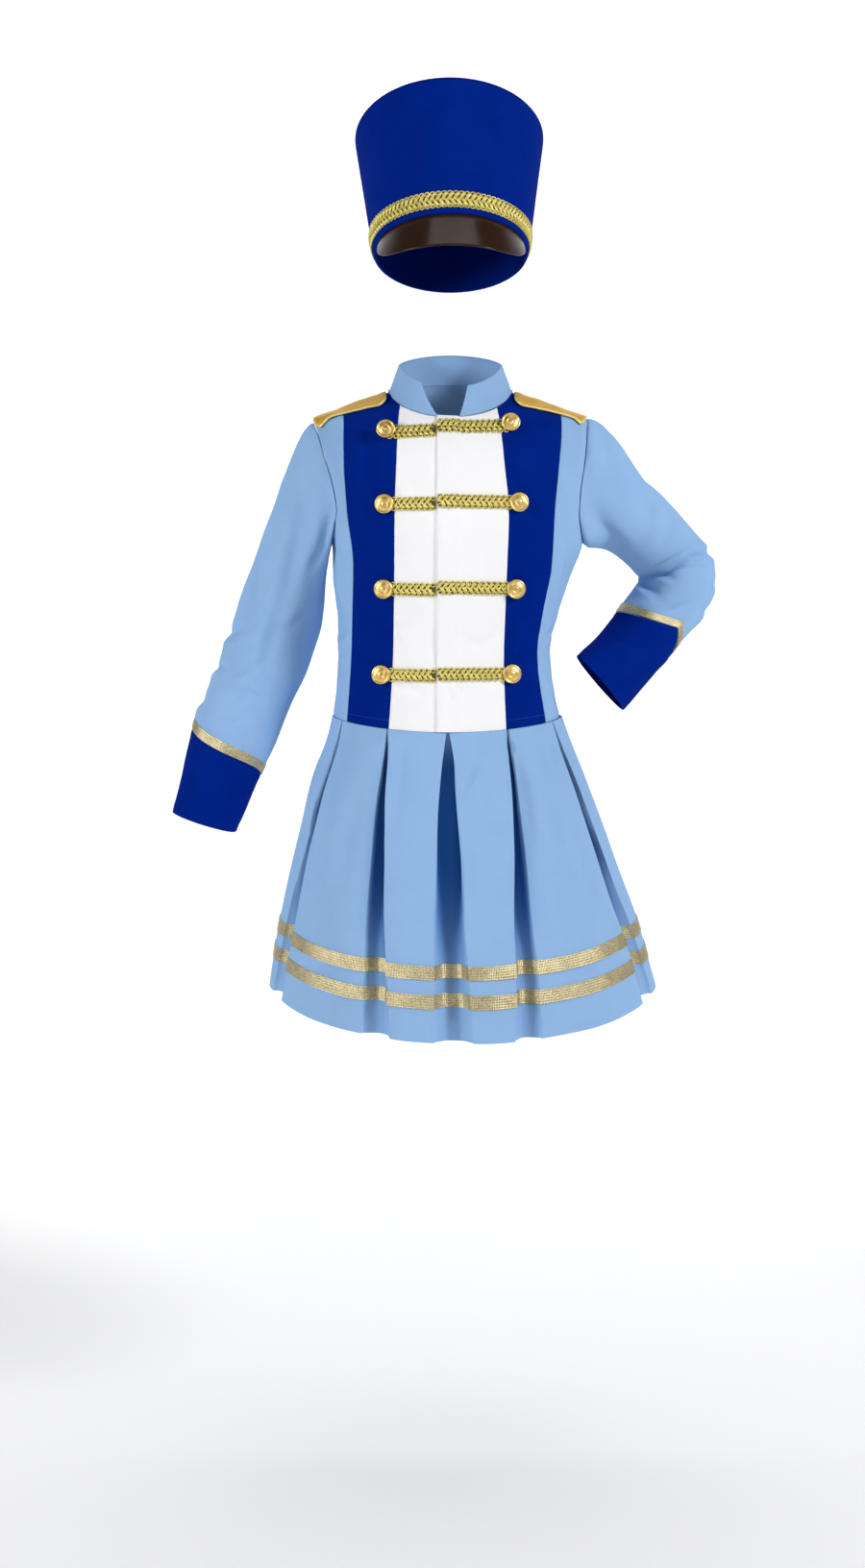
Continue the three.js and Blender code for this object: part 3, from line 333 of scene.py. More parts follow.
# Creases under the piece and the side they show on. Columns: how wide and how deep the trough
# is, how high the lip beside it is, and its path as pairs of x or y and z. The lip lies to
# the right of the path as it runs.
CREASES = numbers_by_heading("""
bodice_front_side_right front
7 1.3 0.7  -79 -40  -83 -72  -80 -104
5 0.9 0.5  -66 -118  -78 -140  -95 -150
8 1 0.6  -86 -180  -80 -225  -84 -262
5 1 0.6  -100 -268  -82 -262  -70 -272
4 0.8 0.5  -96 -300  -84 -292  -74 -296
bodice_front_side_left front
7 1.4 0.8  88 -30  93 -58  87 -84
6 1 0.5  66 -96  78 -124  92 -134
5 1.3 0.8  60 -272  74 -251  88 -230
8 1 0.6  70 -160  66 -196  72 -226
4 0.9 0.5  64 -300  78 -292  90 -296
bodice_front_centre_left front
5 0.7 0.4  -9 -96  2 -130  -4 -166
7 0.7 0.4  40 -140  30 -165  36 -190
5 0.8 0.5  46 -240  30 -252  12 -246
4 0.7 0.4  -8 -288  2 -305  -3 -325
bodice_front_centre_right front
5 0.7 0.4  -50 -84  -36 -98  -24 -96
5 0.7 0.4  -24 -215  -36 -232  -50 -238
4 0.7 0.4  -52 -300  -38 -294  -26 -302
bodice_side_right right
5 1.6 0.9  -26 -150  -22 -190  -28 -230
4 1.2 0.8  -46 -236  -24 -246  -6 -240
4 1.1 0.7  -40 -286  -20 -278  -8 -284
bodice_side_right front
4 1.2 0.7  -110 -206  -112 -228  -108 -250
bodice_side_left left
5 1.7 0.9  -18 -160  -24 -200  -18 -236
4 1.2 0.8  -44 -250  -22 -240  -6 -248
4 1.1 0.7  -36 -292  -18 -286  -6 -294
bodice_side_left front
4 1.3 0.7  122 -140  117 -182  108 -222
bodice_back back
9 2 1.1  -92 -70  -66 -112  -58 -166
8 1.8 1  88 -64  70 -104  66 -150
7 1.5 0.9  -30 -96  -18 -140  -24 -178
6 1.7 1  -92 -232  -58 -252  -22 -248
6 1.5 0.9  96 -224  66 -246  30 -262
5 1.3 0.8  -84 -288  -52 -280  -30 -286
5 1.4 0.8  20 -296  48 -288  80 -300
8 1.2 0.7  34 -170  26 -206  34 -232
sleeve_right front
10 2.6 1.3  -146 -84  -151 -135  -161 -180  -172 -222
8 2 1  -172 -214  -184 -258  -190 -292
5 1.9 1.1  -228 -287  -208 -278  -188 -273
5 2.1 1.1  -226 -309  -205 -303  -186 -312
6 2.8 1.3  -118 -120  -127 -156  -142 -182
5 1.4 0.8  -146 -222  -160 -236  -178 -238
6 1.3 0.7  -192 -176  -198 -206  -208 -232
5 1.5 0.8  -240 -330  -222 -334  -204 -328
sleeve_right right
9 2.4 1.2  10 -104  24 -150  18 -196
6 2 1.1  -18 -236  6 -246  34 -240
5 1.7 1  -24 -282  2 -276  30 -286
6 1.5 0.8  -20 -318  6 -312  24 -320
sleeve_right back
10 2.4 1.2  -152 -92  -166 -146  -170 -196
6 2.2 1.2  -122 -150  -138 -180  -160 -190
6 2.1 1.2  -226 -254  -202 -266  -170 -262
5 1.8 1  -234 -292  -210 -284  -184 -292
6 1.5 0.8  -238 -324  -216 -332  -196 -326
sleeve_left front
9 2.6 1.2  149 -26  154 -56  166 -86
12 5.5 2  139 -112  150 -136  164 -154  178 -168
3.2 4.2 2.6  272 -160  252 -164  236 -172  222 -180  206 -188  192 -190
3.2 2.4 1.4  274 -172  256 -172  240 -174  226 -178
4 2.6 1.6  200 -186  216 -183  232 -188
5 2.6 1.4  196 -190  204 -198  216 -204
5 1.9 1.1  204 -210  226 -214  252 -206
5 1.6 0.9  188 -216  196 -223  203 -231
9 1.6 0.8  186 -66  196 -100  206 -128
7 1.3 0.7  226 -116  222 -140  210 -160
sleeve_left left
9 2.2 1.1  8 -60  30 -92  52 -122
5 2.6 1.5  44 -166  72 -160  100 -170
5 2.1 1.2  50 -198  74 -190  98 -198
5 1.6 0.9  30 -228  54 -222  76 -232
sleeve_left back
9 2.3 1.2  160 -54  182 -92  206 -122
7 2.4 1.3  150 -128  176 -142  196 -164
5 2.4 1.4  264 -166  236 -176  208 -180
5 1.9 1.1  262 -196  236 -194  212 -202
cuff_right front
8 1.3 0.7  -256 -362  -240 -390  -244 -418
cuff_right right
8 1.3 0.7  8 -360  -6 -390  -18 -420
cuff_right back
7 1.4 0.8  -220 -366  -232 -396  -250 -410
cuff_left front
4 1.6 1.1  150 -256  164 -248  176 -252
9 1.3 0.7  196 -262  184 -284  166 -300
cuff_left left
7 1.4 0.8  40 -270  24 -282  2 -288
skirt front
5 2 1  30 -366  22 -386  14 -404
9 2.6 1.3  53 -334  68 -364  77 -410  84 -457  90 -490
8 1.6 0.8  -48 -350  -52 -392  -58 -430
10 2 1  -92 -392  -104 -446  -112 -500
9 1.8 0.9  10 -430  16 -476  14 -516
8 1.8 0.9  118 -420  132 -466  140 -512
6 1.4 0.8  96 -348  104 -372  116 -390
skirt back
9 2.2 1.1  -60 -352  -72 -400  -78 -452
8 1.8 0.9  24 -366  20 -412  28 -450
10 2.1 1  96 -404  112 -456  120 -506
6 1.6 0.9  58 -346  70 -364  86 -372
skirt left
9 2.2 1.1  -22 -360  -34 -410  -38 -456
8 1.8 0.9  30 -420  40 -462  38 -504
skirt right
9 2.2 1.1  20 -356  34 -400  36 -450
8 1.8 0.9  -30 -410  -44 -456  -46 -496
""")


# Meshes

def build(name, points, faces, uv=None, slot=None, angle=48, weld=False):
    """A smooth mesh object in metres from points in millimetres and rows of face corners."""
    name = name + "_cloth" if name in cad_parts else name
    mesh = bpy.data.meshes.new(name)
    mesh.vertices.add(len(points))
    mesh.vertices.foreach_set("co", (points * MM).astype(np.float32).ravel())
    corners = faces.shape[1]
    mesh.loops.add(faces.size)
    mesh.loops.foreach_set("vertex_index", faces.astype(np.int32).ravel())
    mesh.polygons.add(len(faces))
    mesh.polygons.foreach_set("loop_start", np.arange(0, faces.size, corners, dtype=np.int32))
    mesh.update(calc_edges=True)
    if weld:
        work = bmesh.new()
        work.from_mesh(mesh)
        bmesh.ops.remove_doubles(work, verts=work.verts, dist=1e-6)
        bmesh.ops.recalc_face_normals(work, faces=work.faces)
        work.to_mesh(mesh)
        work.free()
    mesh.polygons.foreach_set("use_smooth", np.ones(len(mesh.polygons), bool))
    mesh.set_sharp_from_angle(angle=math.radians(angle))
    if uv is not None:
        layer = mesh.uv_layers.new(name="cloth")
        layer.data.foreach_set("uv", (uv * MM).astype(np.float32).ravel())
    mesh.validate()
    piece = bpy.data.objects.new(name, mesh)
    bpy.context.scene.collection.objects.link(piece)
    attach(piece, "root")
    if slot:
        piece.data.materials.append(MATERIALS[slot])
    return piece


def lengths(grid):
    """The distance walked along each axis of a grid of points, for a pattern on the cloth."""
    steps_u = size(np.diff(grid, axis=0)).mean(axis=1)
    steps_v = size(np.diff(grid, axis=1))
    u = np.r_[0, np.cumsum(steps_u)][:, None] + np.zeros(grid.shape[:2])
    v = np.concatenate([np.zeros((len(grid), 1)), np.cumsum(steps_v, axis=1)], axis=1)
    return np.stack([u, v], -1)


def numbering(points):
    """The number of each vertex, in the shape of an array of points."""
    return np.arange(points[..., 0].size).reshape(points.shape[:-1])


def wall(name, outer, inner, ring=False, slot=None):
    """A closed wall between two grids of points, with its edges closed by strips.

    A ring joins its last column to its first. The faces are turned to point outwards by the
    sign of the volume that they enclose.
    """
    count, rows = outer.shape[:2]
    first = np.concatenate([outer, outer[:1]]) if ring else outer
    columns = len(first)
    uv = np.tile(lengths(first).reshape(-1, 2), (2, 1))
    top = numbering(first)
    low = top + columns * rows
    strips = [
        (top[:-1, :-1], top[:-1, 1:], top[1:, 1:], top[1:, :-1]),
        (low[:-1, :-1], low[1:, :-1], low[1:, 1:], low[:-1, 1:]),
        (top[:-1, 0], top[1:, 0], low[1:, 0], low[:-1, 0]),
        (top[1:, -1], top[:-1, -1], low[:-1, -1], low[1:, -1]),
        (top[0, 1:], top[0, :-1], low[0, :-1], low[0, 1:]),
        (top[-1, :-1], top[-1, 1:], low[-1, 1:], low[-1, :-1]),
    ]
    if ring:
        strips = strips[:4]
    faces = np.concatenate([np.stack(corners, -1).reshape(-1, 4) for corners in strips])
    layer = np.arange(2)[:, None, None] * count * rows
    number = (layer + (np.arange(columns) % count)[:, None] * rows + np.arange(rows)).ravel()
    points = np.concatenate([outer.reshape(-1, 3), inner.reshape(-1, 3)])
    a, b, c, d = (points[number[faces[:, k]]] for k in range(4))
    volume = np.einsum("ij,ij->", a, np.cross(b, c)) + np.einsum("ij,ij->", a, np.cross(c, d))
    if volume < 0:
        faces = faces[:, ::-1]
    return build(name, points, number[faces], uv[faces.reshape(-1)], slot)


def turned(name, points, slot, angle=48, mapped=False):
    """A shape of profiles set round an axis, with its poles welded shut."""
    index = numbering(points)
    following = np.roll(index, -1, axis=0)
    faces = np.stack([index[:, :-1], following[:, :-1], following[:, 1:], index[:, 1:]], -1).reshape(-1, 4)
    points = points.reshape(-1, 3)
    uv = points[faces.reshape(-1), :2] if mapped else None
    return build(name, points, faces, uv, slot, angle, weld=True)


def grid_normals(surface, u, v, step=0.01, turns=20):
    """Unit normals of a surface of turn and drop, by central differences, facing outwards."""
    across = surface(u + step, v) - surface(u - step, v)
    down = surface(u, v + step * turns) - surface(u, v - step * turns)
    return unit(np.cross(down, across))


def ring_normals(grid):
    """Outward directions of rings of points, each within the plane of its ring.

    The plane's axis is the sum of the cross products of neighbouring points, and the
    direction is square to it and to the chord between the two neighbours.
    """
    following = np.roll(grid, -1, axis=0)
    axis = unit(np.cross(grid, following).sum(axis=0, keepdims=True))
    out = unit(np.cross(following - np.roll(grid, 1, axis=0), axis))
    away = grid - grid.mean(axis=0, keepdims=True)
    return out * np.where((out * away).sum(-1, keepdims=True) < 0, -1, 1)


def tubes(name, paths, ups, radius, sides=5, flat=1.0, slot=None):
    """Joined threads: a flattened circle carried along each path, drawn in at both ends.

    paths and ups are arrays of threads by points by three. The circle lies across the path,
    with its height along the thread's own up direction.
    """
    count, steps = paths.shape[:2]
    along = unit(np.gradient(paths, axis=1))
    side = unit(np.cross(along, ups))
    high = unit(np.cross(side, along))
    ends = np.ones(steps)
    ends[0] = ends[-1] = 0.25
    angle = circle(sides)
    ring = side[:, :, None] * np.cos(angle) + high[:, :, None] * np.sin(angle) * flat
    points = paths[:, :, None] + ring * (radius * ends)[:, None, None]
    index = numbering(points)
    near, far = index[:, :-1], index[:, 1:]
    faces = np.stack([far, np.roll(far, -1, 2), np.roll(near, -1, 2), near], -1).reshape(-1, 4)
    points = points.reshape(-1, 3)
    place = np.broadcast_to(np.linspace(0, 1, steps)[None, :, None], index.shape)
    number = np.broadcast_to(np.arange(count)[:, None, None], index.shape)
    uv = np.stack([number, place], -1).reshape(-1, 2) / MM * 0.01
    return build(name, points, faces, uv[faces.reshape(-1)], slot, angle=80)


# Shader maths

class Wire:
    """A socket whose operators add Math nodes, so that an expression builds them."""

    def __init__(self, net, socket):
        self.net = net
        self.socket = socket

    def maths(self, operation, *values, **settings):
        return self.net.add("Math", dict(operation=operation, **settings), *values)

    def __add__(self, other):
        return self.maths("ADD", self, other)

    def __sub__(self, other):
        return self.maths("SUBTRACT", self, other)

    def __rsub__(self, other):
        return self.maths("SUBTRACT", other, self)

    def __mul__(self, other):
        return self.maths("MULTIPLY", self, other)

    __radd__ = __add__
    __rmul__ = __mul__

    def clamp(self):
        return self.maths("ADD", self, 0.0, use_clamp=True)

    def waves(self, length):
        """A sine of this distance, with its length in metres."""
        return self.maths("SINE", self * (2 * math.pi / length))


class Net:
    """One material's nodes."""

    def __init__(self, name, **constants):
        self.material = bpy.data.materials.new(name)
        self.material.use_nodes = True
        self.tree = self.material.node_tree
        self.tree.nodes.clear()
        output = self.tree.nodes.new("ShaderNodeOutputMaterial")
        self.shader = self.tree.nodes.new("ShaderNodeBsdfPrincipled")
        self.tree.links.new(self.shader.outputs[0], output.inputs[0])
        for key, value in constants.items():
            self.shader.inputs[key.replace("_", " ")].default_value = value
        self.place = self.add("TexCoord", {}, out=3)

    def add(self, kind, settings, *values, out=0, **named):
        """Adds a node: its settings first, then values or wires for its sockets."""
        node = self.tree.nodes.new("ShaderNode" + kind)
        for key, value in settings.items():
            setattr(node, key, value)
        for key, value in [*enumerate(values), *named.items()]:
            if isinstance(value, Wire):
                self.tree.links.new(value.socket, node.inputs[key])
            else:
                node.inputs[key].default_value = value
        return Wire(self, node.outputs[out])

    def along_cloth(self):
        """The distances along and across the cloth, from the piece's own map."""
        cloth = self.add("UVMap", {})
        return [self.add("SeparateXYZ", {}, cloth, out=axis) for axis in (0, 1)]

    def noise(self, scale, detail=2.0):
        return self.add("TexNoise", {}, Vector=self.place, Scale=scale, Detail=detail, Roughness=0.5)

    def blend(self, share, low, high):
        """A colour that goes from low to high by a share."""
        node = self.tree.nodes.new("ShaderNodeMix")
        node.data_type = "RGBA"
        for key, value in ((0, share), (6, low), (7, high)):
            if isinstance(value, Wire):
                self.tree.links.new(value.socket, node.inputs[key])
            else:
                node.inputs[key].default_value = (*value, 1)
        return Wire(self, node.outputs[2])

    def finish(self, colour, rough=None, height=None, strength=1.0, depth=0.001):
        """Feeds the shader a colour, a roughness and a height that becomes a bump."""
        fed = {"Base Color": colour, "Roughness": rough}
        if height:
            fed["Normal"] = self.add("Bump", {}, Strength=strength, Distance=depth, Height=height)
        for key, wire in fed.items():
            if wire:
                self.tree.links.new(wire.socket, self.shader.inputs[key])
        return self.material


def twill(name, colour, shade, sheen, shine=0.1, painted_pleat_shade=None):
    """Twill: slanted ribs across the threads, a faint mottle and a soft nap.

    A painted shade colour takes over deep in the pleats, by the share kept in the cloth's fold attribute.
    """
    net = Net(name, Sheen_Weight=sheen, Sheen_Roughness=0.45, Specular_IOR_Level=shine)
    u, v = net.along_cloth()
    rib, thread = (u + v).waves(0.0012), (u - v).waves(0.0021)
    mottle, slub = net.noise(38.0, 3.0), net.noise(420.0)
    dye_and_painted_shade = net.blend((mottle * 0.55 + slub * 0.3 + rib * 0.05).clamp(), shade, colour)
    # Painted shade: the hollows of the pleats darken in the base colour by the fold attribute's share.
    if painted_pleat_shade:
        dye_and_painted_shade = net.blend(net.add("Attribute", dict(attribute_name="fold"), out=2), dye_and_painted_shade, painted_pleat_shade)
    return net.finish(dye_and_painted_shade, 0.74 + slub * 0.16, rib * 0.55 + thread * 0.25 + slub * 0.9, 0.45, 0.00018)


def metal_thread(name, colour, shade, rough):
    """Metallic yarn that changes in brightness and gloss along itself."""
    net = Net(name, Metallic=0.62, Specular_IOR_Level=0.6)
    grain, drift = net.noise(900.0), net.noise(160.0)
    gold = net.blend((grain * 1.5 + drift * 0.7 - 0.55).clamp(), shade, colour)
    return net.finish(gold, rough - 0.12 + grain * 0.3, grain, 0.5, 0.0002)


def woven_ribbon(name, colour, shade):
    """Ribbon: raised cross ribs, with fine bright specks painted in as glints that also roughen and raise
    it.
    """
    net = Net(name, Metallic=0.7, Specular_IOR_Level=0.6)
    u, v = net.along_cloth()
    rib, weft = u.waves(0.0016), v.waves(0.0025)
    painted_glint_and_grain, drift = net.noise(1100.0, 1.0), net.noise(90.0)
    # Painted glints: the fine noise brightens the colour in specks; ribs, weft and drift give the weave's
    # own tone.
    share = (rib * 0.16 + weft * 0.1 + painted_glint_and_grain * 1.7 + drift * 0.5 - 0.72).clamp()
    relief = rib * 0.5 + weft * 0.3 + painted_glint_and_grain * 0.6
    return net.finish(net.blend(share, shade, colour), 0.3 + painted_glint_and_grain * 0.3, relief, 0.6, 0.00025)


def satin(name, colour, shade):
    """Satin: long floats across the tab under a slow drift of shine."""
    net = Net(name, Metallic=0.45, Specular_IOR_Level=0.3)
    floats = net.add("SeparateXYZ", {}, net.place).waves(0.0011)
    drift = net.noise(70.0, 3.0)
    gold = net.blend((drift * 1.1 - 0.05 + floats * 0.06).clamp(), shade, colour)
    return net.finish(gold, 0.28 + drift * 0.2, floats * 0.3 + drift * 0.8, 0.35, 0.0003)


def gold_plate(name):
    """Plated plastic: bright gold with a brown bloom and fine wear."""
    net = Net(name, Metallic=0.9, Specular_IOR_Level=0.5, Coat_Weight=0.1, Coat_Roughness=0.3)
    bloom, grain = net.noise(150.0, 3.0), net.noise(700.0)
    gold = net.blend((bloom * 1.3 - 0.15).clamp(), (0.72, 0.43, 0.09), (1.0, 0.77, 0.31))
    return net.finish(gold, 0.28 + grain * 0.2, grain, 0.25, 0.0003)


def patent(name):
    """Patent: dark brown with a smooth coat and faint streaks."""
    net = Net(name, Specular_IOR_Level=0.14, Coat_Weight=0.08, Coat_Roughness=0.06)
    wave, grain = net.noise(22.0), net.noise(300.0)
    brown = net.blend(wave, (0.016, 0.005, 0.002), (0.036, 0.013, 0.005))
    return net.finish(brown, 0.16 + grain * 0.1, wave + grain * 0.03, 0.25, 0.0012)


def thread(name, colour):
    """Sewing thread: matt, with a slight change along it."""
    net = Net(name, Roughness=0.6, Sheen_Weight=0.2)
    return net.finish(net.blend(net.noise(500.0), tuple(0.8 * c for c in colour), colour))


LIGHT_BLUE = (0.325, 0.52, 0.80)
LIGHT_BLUE_SHADE = (0.25, 0.435, 0.735)
# Painted shade: a deep blue mixed into the skirt's base colour in the hollows of its pleats, where their
# shadow falls.
PLEAT_HOLLOW_PAINTED_SHADE = (0.03, 0.15, 0.44)

MATERIALS = dict(
    light_blue_twill=twill("light_blue_twill", LIGHT_BLUE, LIGHT_BLUE_SHADE, 0.05, 0.06),
    # The skirt's twill, with shade painted into the hollows of its pleats
    pleat_shade_painted_twill=twill("pleat_shade_painted_twill", LIGHT_BLUE, LIGHT_BLUE_SHADE, 0.05, 0.06, PLEAT_HOLLOW_PAINTED_SHADE),
    royal_blue_twill=twill("royal_blue_twill", (0.0004, 0.022, 0.275), (0.0002, 0.013, 0.185), 0.006, 0.01),
    white_twill=twill("white_twill", (0.97, 0.97, 0.98), (0.92, 0.92, 0.94), 0.05),
    gold_braid=metal_thread("gold_braid", (1.0, 0.90, 0.34), (0.52, 0.41, 0.05), 0.40),
    braid_ground=metal_thread("braid_ground", (0.20, 0.16, 0.03), (0.09, 0.07, 0.012), 0.6),
    gold_ribbon=woven_ribbon("gold_ribbon", (0.90, 0.81, 0.52), (0.26, 0.20, 0.09)),
    gold_satin=satin("gold_satin", (0.86, 0.53, 0.09), (0.60, 0.32, 0.03)),
    gold_piping=satin("gold_piping", (1.0, 0.82, 0.36), (0.86, 0.62, 0.18)),
    gold_plate=gold_plate("gold_plate"),
    dark_patent=patent("dark_patent"),
    light_blue_thread=thread("light_blue_thread", (0.30, 0.52, 0.86)),
    royal_blue_thread=thread("royal_blue_thread", (0.01, 0.05, 0.36)),
)


# Cloth: creases, puckers and rolled seam edges

# Sides: the axis that runs across the view, the axis that faces it, and its sign
VIEWS = dict(front=(0, 1, -1), back=(0, 1, 1), left=(1, 0, 1), right=(1, 0, -1))


def creased(name, points, normals):
    """How far each point is moved out by the creases of a piece.

    Across a crease, the trough is a bell curve of the distance and the lip another beside
    it. Along it, both fade to nothing at its ends, and it only acts where the cloth faces
    its side.
    """
    moved = np.zeros(points.shape[:-1])
    rows = [(side, *row) for side in VIEWS for row in CREASES.get(f"{name} {side}", ())]
    for side, wide, deep, lip, *path in rows:
        level_axis, facing, sign = VIEWS[side]
        path = np.reshape(path, (-1, 2)).astype(float)
        starts = walked(path)
        best = np.full(moved.shape, 1e9)
        across, along = moved * 0, moved * 0
        for corner, span, start, reach in zip(path, np.diff(path, axis=0), starts, np.diff(starts)):
            offset = points[..., [level_axis, 2]] - corner
            t = np.clip((offset @ span) / reach**2, 0, 1)
            distance = size(offset - t[..., None] * span)
            nearer = distance < best
            best = np.where(nearer, distance, best)
            side_of = np.where(span[0] * offset[..., 1] < span[1] * offset[..., 0], 1, -1)
            across = np.where(nearer, side_of * distance, across)
            along = np.where(nearer, (start + t * reach) / starts[-1], along)
        fade = np.sin(np.pi * np.clip(along * 0.94 + 0.03, 0, 1)) ** 0.8
        s = across / wide
        shape = lip * bell(s - 1.7, 1.1) - deep * bell(s, 1)
        moved += CREASE_DEPTH * shape * fade * smooth(normals[..., facing] * sign, -0.1, 0.35)
    return moved


def ripple(points, scale, seed, octaves=3):
    """Smooth unevenness between -1 and 1: a sum of sines in fixed, mixed directions."""
    rng = np.random.default_rng(seed)
    total = np.zeros(points.shape[:-1])
    for k in range(octaves * 4):
        way = unit(rng.normal(size=3))
        length = scale * 2.0 ** (-(k % octaves) * 0.6)
        total += np.sin(points @ way * 2 * np.pi / length + rng.uniform(0, 6.28)) * 0.6 ** (k % octaves)
    return total / (octaves * 1.6)


def sheet_area(grid):
    """Square metres of a grid of points in millimetres, as the sum of its triangles."""
    a, b = grid[1:, :-1] - grid[:-1, :-1], grid[:-1, 1:] - grid[:-1, :-1]
    c, d = grid[1:, :-1] - grid[1:, 1:], grid[:-1, 1:] - grid[1:, 1:]
    total = size(np.cross(a, b)).sum() + size(np.cross(c, d)).sum()
    return float(total) / 2 * MM * MM


def stand_in(piece, name, grid, held, rests_on=(), ring=False):
    """Puts a piece in its solid's place by hiding the solid, and works out the width, length and flat area
    of its cut without keeping them.
    """
    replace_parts(piece, name)
    if ring:
        grid = np.concatenate([grid, grid[:1]])
    width = size(np.diff(grid, axis=0)).sum(axis=0).max() * MM
    length = size(np.diff(grid, axis=1)).sum(axis=1).max() * MM
    width, length = max(float(width), LEAST_SHEET), max(float(length), LEAST_SHEET)
    list(rests_on)
    min(sheet_area(grid), width * length)


def cloth(name, points, normals, slot="light_blue_twill", held="stretched", rests_on=(), ring=False,
          wave=0.5, scale=60, seams=(0, 1, 2, 3), pucker=0.35, seed=1):
    """A cloth piece: its surface with creases and waves, and its thickness inwards.

    Near the sewn edges it rolls down by a bell curve of the distance and puckers along the
    seam by a sine. seams lists its sewn edges: 0 and 1 are the first and last column, 2 and
    3 the first and last row.
    """
    u, v = np.moveaxis(lengths(points), -1, 0)
    distances = [u, u[-1:, :] - u, v, v[:, -1:] - v]
    edge = np.minimum.reduce([distances[k] for k in seams])
    moved = creased(name, points, normals) * smooth(edge, -1, 8)
    moved += wave * ripple(points, scale, seed) * smooth(edge, 0, 12)
    moved -= EDGE_ROLL * bell(edge, 0.8)
    moved += pucker * ripple(points, 13, seed + 7, 2) * bell(edge - 4, 5)
    outer = points + normals * moved[..., None]
    piece = wall(name, outer, outer - normals * CLOTH, ring, slot)
    stand_in(piece, name, outer, held, rests_on, ring)
    return outer


def trim(name, outer, inner, slot, held, rests_on, ring=True):
    """A ribbon or tab: a plain wall in its solid's place."""
    stand_in(wall(name, outer, inner, ring, slot), name, outer, held, rests_on, ring)


# The body of the dress

def body(turn, drop):
    """A level section of the body: a squared oval, deeper or flatter in front than behind."""
    middle, half, front, back, square = torso_at(drop)
    sine, cosine = np.sin(turn), np.cos(turn)
    deep = np.where(cosine > 0, front, back)
    return pack(middle + half * power(sine, 2 / square), -deep * power(cosine, 2 / square), -drop)


def turn_at(x, drop):
    """The turn at which a level section of the front crosses x."""
    middle, half, _, _, square = torso_at(drop)
    return np.arcsin(power(np.clip((x - middle) / half, -1, 1), square / 2))


def waist_drop(x):
    return WAIST_DROP - WAIST_RISE * (x / WAIST_HALF) ** 2


def neck_drop(turn):
    """The neckline: a power of the cosine in front and a shallow rise behind."""
    cosine = np.cos(turn)
    front = NECK_FRONT_DROP * np.maximum(cosine, 0) ** NECK_FRONT_ROUND
    return np.where(cosine > 0, front, NECK_BACK_RISE * cosine)


def shoulder_drop(x, y):
    """The drop at which the shoulder reaches y behind its ridge, found by halving."""
    x, y = np.broadcast_arrays(np.asarray(x, float), np.asarray(y, float))
    high, low = np.full(x.shape, -5.0), np.full(x.shape, 90.0)
    for _ in range(40):
        drop = (high + low) / 2
        middle, half, front, back, square = torso_at(drop)
        share = np.minimum(np.abs(x - middle) / half, 1)
        reach = np.where(y < 0, front, back) * (1 - share**square) ** (1 / square)
        over = (share < 1) & (reach > np.abs(y))
        low = np.where(over, drop, low)
        high = np.where(over, high, drop)
    return (high + low) / 2


def top_drop(x):
    """The panels' upper edge at x: the neckline, or the shoulder line outside it."""
    neck = neck_drop(np.arcsin(np.clip(x / NECK_HALF, -1, 1)))
    return np.where(np.abs(x) < NECK_HALF, neck, shoulder_drop(x, 0))


def armhole(side, angle):
    """Turn and drop of the armhole at an angle round it, 0 at its tip and 180 at its pit."""
    sleeve = SLEEVES[side]
    way = (1 - np.cos(angle)) / 2
    drop = mix(sleeve.tip, sleeve.pit, way)
    front, back = cut_at(way)
    in_front = np.sin(angle) > 0
    share = 1 - (1 - np.where(in_front, front, back)) * sleeve.cut
    turn = np.arcsin(np.minimum(share, 1) ** (torso_at(drop)[4] / 2))
    return sleeve.sign * np.where(in_front, turn, np.pi - turn), drop


def levelled(drop, x):
    """Raises the rows near the waist by the curve of the waistline at x."""
    return drop + (waist_drop(x) - WAIST_DROP) * np.clip((drop - 200) / (WAIST_DROP - 200), 0, 1)


def overlap_lift(x):
    """The left centre front is raised where it laps over the right one."""
    return OVERLAP_LIFT * (1 - smooth(x, 4, 12))


def on_body(turn, drop, shift=-SEAM_GAP / 2):
    """Points and normals of the body, with the points moved back by a shift."""
    points = body(turn, drop)
    points[..., 1] += shift
    return points, grid_normals(body, turn, drop)


def front_panel(name, slot, columns, seed, seams=(None, None), edges=(None, None), lift=None):
    """A front panel from neckline or shoulder to waist, each side on a seam or a straight edge."""
    shares = clustered(columns)[:, None]

    def x_at(drop):
        first, last = (seam_at(drop)[seam] if edge is None else edge
                       for seam, edge in zip(seams, edges))
        return mix(first + SEAM_GAP / 2, last - SEAM_GAP / 2, shares)

    start = top_drop(x_at(np.full((1, 1), 10.0))) + EDGE_DROP
    level = mix(start, WAIST_DROP, np.linspace(0, 1, 150)[None, :])
    drop = levelled(level, x_at(level))
    points, normals = on_body(turn_at(x_at(drop), drop), drop)
    if lift:
        points = points + normals * lift(points[..., 0])[..., None]
    return cloth(name, points, normals, slot, seed=seed), normals


def arm_edge(side, way, rows, turns, drops):
    """Turn and drop of a panel's edge: a given start, then the armhole and the side seam."""
    sleeve = SLEEVES[side]
    hole_turn, hole_drop = armhole(side, way * np.linspace(0, np.pi, rows))
    below = np.linspace(0, 1, rows)[1:]
    seam_turn = below * 0 + sleeve.sign * np.pi / 2
    return np.r_[turns, hole_turn, seam_turn], np.r_[drops, hole_drop, mix(sleeve.pit, WAIST_DROP, below)]


